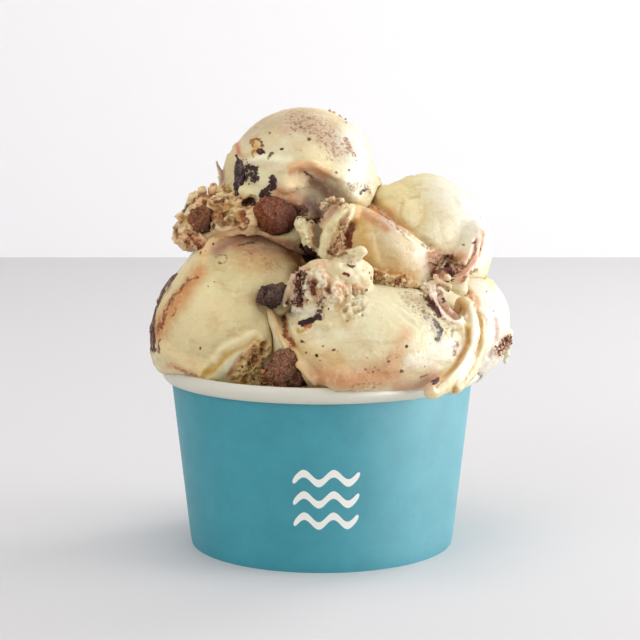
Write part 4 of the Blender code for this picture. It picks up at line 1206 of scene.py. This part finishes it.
def modelled(node, seed, smoothing, strokes, voxel):
    """A scoop with everything that is drawn on it.

    Its form comes first, then paint, torn relief, ink and specks, and last painted shade in its
    hollows.
    """
    s = Gelato(node, smoothing=smoothing, voxel=voxel, rolls=strokes["rolls"])
    s.colour[:] = tone(*strokes["base"])
    for reach, shift, *pixel in strokes.get("presses", []):
        away = np.sqrt(((s.photo - pixel) ** 2).sum(1))
        s.co[:, 0] += shift * MM * np.exp(-(away / reach) ** 2)
    if strokes.get("tucked"):
        reach = np.hypot(s.co[:, 0] - AXIS.x, s.co[:, 1] - AXIS.y)
        s.co[(reach > RIM_REACH) & (s.co[:, 2] < RIM_TOP), 2] = RIM_TOP
    s.write()
    soft_variation(s, seed)
    ripple(s, seed + 30)
    lift = np.zeros(len(s.co))
    for width, height, *path in strokes["folds"].values():
        lift += s.raised(path, width, height)
    s.lift(lift)
    for width, colour, strength, *path in strokes["paint"].values():
        s.paint(path, width, tone(*colour), strength)
    for index, tear in enumerate(strokes["tears"].values()):
        s.tear(*tear[:6], tear[6:], seed + 50 + index)
    for width, colour, strength, *path in strokes["ink"].values():
        s.ink(strength * s.area(path, width * 1.25, 0.75, s.shake), tone(*colour))
    for across, down, size in np.reshape(strokes["specks"], (-1, 3)):
        spot = (across - 0.5, down, across + 0.5, down)
        large = smoothstep(1.1, 1.9, size)
        s.ink((0.58 + 0.3 * large) * s.area(spot, size * 1.25, 0.7, s.shake * 0.7),
              SPECK_SMALL + (SPECK_LARGE - SPECK_SMALL) * large)
    # Painted shade: tan and caramel darken the points that lie deepest between their neighbours
    pits = s.hollow()
    s.tint(0.42 * smoothstep(0.12, 0.5, pits), TAN)
    s.tint(0.32 * smoothstep(0.4, 1.0, pits), CARAMEL)
    return s


def make_scoops(cream):
    """All scoops; the surface of each is returned, to lay crumbs on."""
    scoops = [modelled("scoop_left", 3, 40, LEFT, FINE_LARGE),
              modelled("scoop_front", 5, 16, FRONT, FINE),
              modelled("scoop_top", 7, 12, TOP, FINE),
              modelled("scoop_right", 9, 16, RIGHT, FINE),
              modelled("scoop_rear", 10, 30, REAR, FINE_LARGE)]
    for scoop in scoops:
        scoop.finish(cream)
    return [scoop.tree() for scoop in scoops]


def make_fill(cream):
    s = Gelato("gelato_fill", smoothing=20, voxel=FINE_FILL, swell=0.0)
    s.colour[:] = tone(230, 213, 164)
    soft_variation(s, 16)
    ripple(s, 46)
    return s.finish(cream)


def faceted(scoop, seed, count, low, high):
    """Flatten a lump against planes all round, so that it looks broken off."""
    chance = random.Random(seed)
    middle = scoop.co.mean(0)
    reach = np.sqrt(((scoop.co - middle) ** 2).sum(1)).mean()
    for _ in range(count):
        side = np.array([chance.gauss(0, 1) for _ in range(3)])
        side /= np.sqrt(side @ side)
        over = (scoop.co - middle) @ side - reach * chance.uniform(low, high)
        scoop.co -= np.outer(np.maximum(over, 0) * 0.85, side)
    scoop.write()


CHUNK_SWELL = 0.0003
FRONT_SQUASH = 0.34


def make_chunks():
    """The chunks that the frame has as solids, broken and roughened."""
    brownie = cake_finish("brownie_crumb", (76, 34, 19), (190, 112, 68), (244, 182, 134), 2400.0,
                          True)
    low = cake_finish("damp_brownie", (94, 56, 38), (182, 130, 96), (224, 182, 144), 1700.0, True)
    cookie = cake_finish("cookie_crumb", (104, 56, 32), (176, 112, 70), (214, 156, 112), 2000.0,
                         True)
    chocolate = chocolate_finish("dark_chocolate", (46, 26, 28), (116, 84, 84))
    broken = cake_finish("chocolate_crumb", (56, 36, 30), (134, 102, 82), (186, 152, 130), 1900.0,
                         True)
    trees = []
    # Bumps in mm, and how many planes flatten the chunk
    for node, material, slot, bumps, facets in (
            ("brownie_middle", brownie, "brownie", 0.9, 12),
            ("brownie_low", low, "brownie", 1.5, 8),
            ("brownie_front", broken, "brownie", 1.7, 9),
            ("cookie_bit", cookie, "cookie", 1.0, 8),
            ("chocolate_shard", chocolate, "chocolate", 0.12, 6)):
        s = Gelato(node, smoothing=4, voxel=FINE_CHUNK,
                   swell=-CHUNK_SWELL if slot == "chocolate" else CHUNK_SWELL)
        if node == "brownie_front":
            s.co[:, 2] += FRONT_SQUASH * (s.co[:, 2].max() - s.co[:, 2])
            s.write()
        s.lift(bumps * MM * churn(s.co, 3.6 * MM, 21, 4))
        faceted(s, len(node), facets, 0.66, 1.05)
        ragged = 1 - 2 * np.abs(churn(s.co, 1.3 * MM, 27, 4))
        s.lift(MM * (0.3 * ragged + 0.22 * churn(s.co, 0.8 * MM, 23, 3)))
        s.obj.name = "crumbled_" + node
        # Painted shade: each chunk grows darker towards its lower right as the camera sees it
        place = (s.photo - s.photo.mean(0)) / s.photo.std(0)
        painted_shade = smoothstep(-0.4, 1.8, 0.6 * place[:, 0] + 0.8 * place[:, 1])
        s.tint(painted_shade, CHUNK_SHADE)
        s.finish(material, slot)
        trees.append(s.tree())
    return trees


# The kinds of loose crumb: dark colour, lit colour, sparkle of painted glints and the slot of the
# material
CRUMB_KINDS = {
    "cream": ((214, 180, 136), (246, 234, 204), (252, 246, 228), "gelato"),
    "golden": ((166, 106, 60), (222, 174, 118), (240, 206, 160), "gelato"),
    "brown": ((84, 42, 26), (160, 98, 66), (206, 148, 116), "brownie"),
    "dark": ((44, 28, 26), (104, 76, 70), (150, 122, 116), "chocolate"),
}
CRUMB_SCALE = 700.0

# Where they lie: kind, count, half width in pixels, least and greatest radius in mm, and path
CRUMBS = {
    "frill": ("golden", 8, 20, 0.2, 0.5, 184, 228, 196, 212, 212, 202, 232, 210),
    "round the cookie": ("brown", 26, 2, 0.25, 0.5, 193, 221, 197, 213, 205, 211, 213, 217,
        213, 226, 205, 232, 196, 229),
    "frill foot": ("brown", 16, 9, 0.2, 0.5, 184, 234, 194, 246, 204, 250),
    "frill top": ("golden", 4, 6, 0.3, 0.7, 204, 190, 213, 188),
    "petal foot": ("golden", 16, 7, 0.2, 0.5, 372, 274, 388, 280, 414, 287),
    "petal foot cream": ("cream", 14, 7, 0.25, 0.6, 384, 281, 414, 289, 428, 284),
    "petal foot brown": ("brown", 12, 6, 0.15, 0.4, 372, 275, 402, 283),
    "fibres brown": ("brown", 12, 9, 0.15, 0.4, 300, 276, 304, 304),
    "low fibres": ("brown", 14, 6, 0.15, 0.35, 318, 300, 322, 312),
    "rags": ("cream", 6, 15, 0.2, 0.5, 320, 282, 344, 296, 352, 312),
    "ragged top": ("golden", 14, 5, 0.25, 0.6, 324, 206, 332, 199, 344, 203),
    "brown flake": ("golden", 12, 7, 0.2, 0.5, 334, 252, 342, 236),
    "crumb line": ("brown", 20, 4, 0.2, 0.45, 298, 215, 308, 221, 320, 220),
    "dark chunk": ("dark", 16, 10, 0.25, 0.7, 258, 296, 272, 292, 284, 300),
    "low crumb": ("golden", 26, 11, 0.25, 0.7, 262, 348, 252, 362, 246, 378),
    "low crumb brown": ("brown", 40, 12, 0.25, 0.6, 262, 352, 260, 376, 290, 382),
    "gold by the low crumb": ("golden", 20, 3, 0.3, 0.8, 261, 352, 260, 366, 262, 380),
    "cavity": ("brown", 14, 8, 0.15, 0.4, 436, 268, 458, 268),
    "cavity pink": ("cream", 12, 6, 0.2, 0.5, 436, 276, 452, 280),
    "side": ("brown", 16, 6, 0.2, 0.5, 500, 350, 510, 338),
    "side cream": ("cream", 12, 6, 0.25, 0.5, 502, 352, 509, 344),
    "froth": ("cream", 14, 5, 0.2, 0.45, 352, 188, 369, 187),
    "chunk on top": ("dark", 22, 6, 0.2, 0.5, 248, 168, 252, 180),
    "second shard": ("dark", 24, 4, 0.3, 0.7, 273.5, 177, 272, 188, 264, 194),
    "gold crumb": ("golden", 12, 5, 0.25, 0.6, 254, 142, 257, 154),
}

# Clusters of crumbs on the side that the photograph doesn't show, and the crumbs in each
HIDDEN_CLUSTERS = {"cream": 6, "golden": 8, "brown": 8}
CLUSTER = 10
BEHIND = (0.25 * math.pi, 0.75 * math.pi)
HEAP_MIDDLE_HEIGHT = 0.088
HEAP_REACH = 0.09
FACES_CAMERA = 0.2


def first_hit(trees, start, ray):
    """The nearest place and normal on any surface along a ray, or None."""
    hits = [tree.ray_cast(start, ray) for tree in trees]
    hits = [hit for hit in hits if hit[0]]
    return min(hits, key=lambda hit: hit[3])[:2] if hits else None


def crumb(bm, place, radius, chance):
    """An uneven grain, half sunk in what carries it."""
    turn = Euler([chance.uniform(0, math.tau) for _ in range(3)]).to_matrix().to_4x4()
    shape = Matrix.Diagonal([chance.uniform(0.6, 1.3) for _ in range(3)] + [1.0])
    made = bmesh.ops.create_icosphere(bm, subdivisions=2, radius=1.0)
    shift = Vector([chance.uniform(0, 90) for _ in range(3)])
    for vert in made["verts"]:
        vert.co *= 1 + 0.45 * noise.noise(vert.co * 1.6 + shift)
    bmesh.ops.transform(bm, verts=made["verts"],
                        matrix=Matrix.Translation(place) @ turn @ shape @ Matrix.Scale(radius, 4))


def make_crumbs(trees):
    """Crumbs laid on the surfaces, one piece for each kind."""
    kinds = {kind: bmesh.new() for kind in CRUMB_KINDS}
    chance = random.Random(4)
    for kind, count, width, low, high, *path in CRUMBS.values():
        line = flowing(path, 6)
        part = bmesh.new()
        for _ in range(count):
            pixel = line[chance.randrange(len(line))] + np.array(
                [chance.gauss(0, 0.5) * width, chance.gauss(0, 0.5) * width])
            radius = low + (high - low) * chance.random() ** 2
            hit = first_hit(trees, EYE, photo_ray(pixel))
            if hit and hit[1].y < FACES_CAMERA:
                crumb(part, hit[0], radius * MM, chance)
        append(kinds[kind], part)
    middle = AXIS + Vector((0, 0, HEAP_MIDDLE_HEIGHT))
    for kind, clusters in HIDDEN_CLUSTERS.items():
        for _ in range(clusters):
            azimuth, height = chance.uniform(*BEHIND), chance.uniform(-0.035, 0.045)
            part = bmesh.new()
            for _ in range(CLUSTER):
                turn = azimuth + chance.gauss(0, 0.09)
                outward = Vector((math.cos(turn), math.sin(turn), 0))
                level = Vector((0, 0, height + chance.gauss(0, 0.004)))
                hit = first_hit(trees, middle + level + outward * HEAP_REACH, -outward)
                if hit:
                    crumb(part, hit[0], chance.uniform(0.2, 0.6) * MM, chance)
            append(kinds[kind], part)
    for kind, (*colours, slot) in CRUMB_KINDS.items():
        finish = cake_finish(kind + "_grains", *colours, CRUMB_SCALE)
        piece = new_piece(kind + "_crumbs", kinds[kind], finish)
        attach(piece, "root")


# ---- Scene ----


def stage_piece(name, finish, colour, turn, place):
    """A large plain sheet."""
    finish.shader.inputs["Base Color"].default_value = (*tone(*colour), 1.0)
    bm = bmesh.new()
    bmesh.ops.create_grid(bm, x_segments=1, y_segments=1, size=2.0,
                          matrix=Matrix.Rotation(math.radians(turn), 4, "X"))
    bmesh.ops.translate(bm, verts=bm.verts, vec=AXIS + Vector(place))
    return new_piece(name, bm, finish.material)


def make_stage():
    floor = stage_piece("floor", Finish("pale_floor", Roughness=0.7, Specular_IOR_Level=0.15),
                        (212, 210, 211), 0, (0, -1.25, 0))
    backdrop = stage_piece("backdrop", Finish("pale_wall", Roughness=0.9, Specular_IOR_Level=0.0),
                           (244, 243, 244), 90, (0, 0.75, 1.99))


ROOM_LIGHT = 0.62
LIGHT_SPREAD = math.radians(160)


def soft_light(name, place, aim, size, power):
    """A broad light at a place seen from the cup's foot, aimed at another one."""
    light = bpy.data.lights.new(name, "AREA")
    light.shape = "RECTANGLE"
    light.size, light.size_y = size
    light.energy = power
    light.spread = LIGHT_SPREAD
    obj = placed(name, light)
    obj.location = AXIS + Vector(place)
    direction = AXIS + Vector(aim) - obj.location
    obj.rotation_euler = direction.to_track_quat("-Z", "Y").to_euler()
    return obj


def make_light():
    """Even room light, with a stronger side at the right and a sheen that only glosses."""
    world = bpy.data.worlds.new("soft_room")
    bpy.context.scene.world = world
    world.use_nodes = True
    background = world.node_tree.nodes["Background"]
    background.inputs["Color"].default_value = (1.0, 1.0, 1.0, 1.0)
    background.inputs["Strength"].default_value = ROOM_LIGHT
    soft_light("right", (0.94, -0.10, 0.24), (0, 0, 0.05), (0.55, 0.55), 3.9)
    soft_light("back right", (0.62, 0.50, 0.62), (0, 0, 0.05), (0.35, 0.35), 2.0)
    soft_light("top", (-0.1, -0.1, 1.1), (0, 0, 0.06), (0.8, 0.8), 2.6)
    soft_light("fill", (-0.7, -0.8, 0.5), (0, 0, 0.06), (0.8, 0.8), 2.5)
    sheen = soft_light("sheen", (1.0, -0.10, 0.12), (0, 0, 0.03), (2.0, 0.6), 100.0)
    sheen.visible_diffuse = False


def make_camera():
    lens = bpy.data.cameras.new("camera")
    lens.sensor_width = SENSOR
    lens.lens = FOCAL_PIXELS / PICTURE * SENSOR
    lens.clip_start, lens.clip_end = 0.01, 20.0
    camera = placed("camera", lens)
    camera.location = EYE
    camera.rotation_euler = (math.radians(90) - TILT, 0.0, 0.0)
    bpy.context.scene.camera = camera


make_camera()
make_light()
make_stage()
bpy.context.scene.view_settings.view_transform = "Standard"
make_cup()
cream_material = gelato_finish()
surfaces = make_scoops(cream_material)
make_fill(cream_material)
chunks = make_chunks()
make_crumbs(surfaces + chunks)
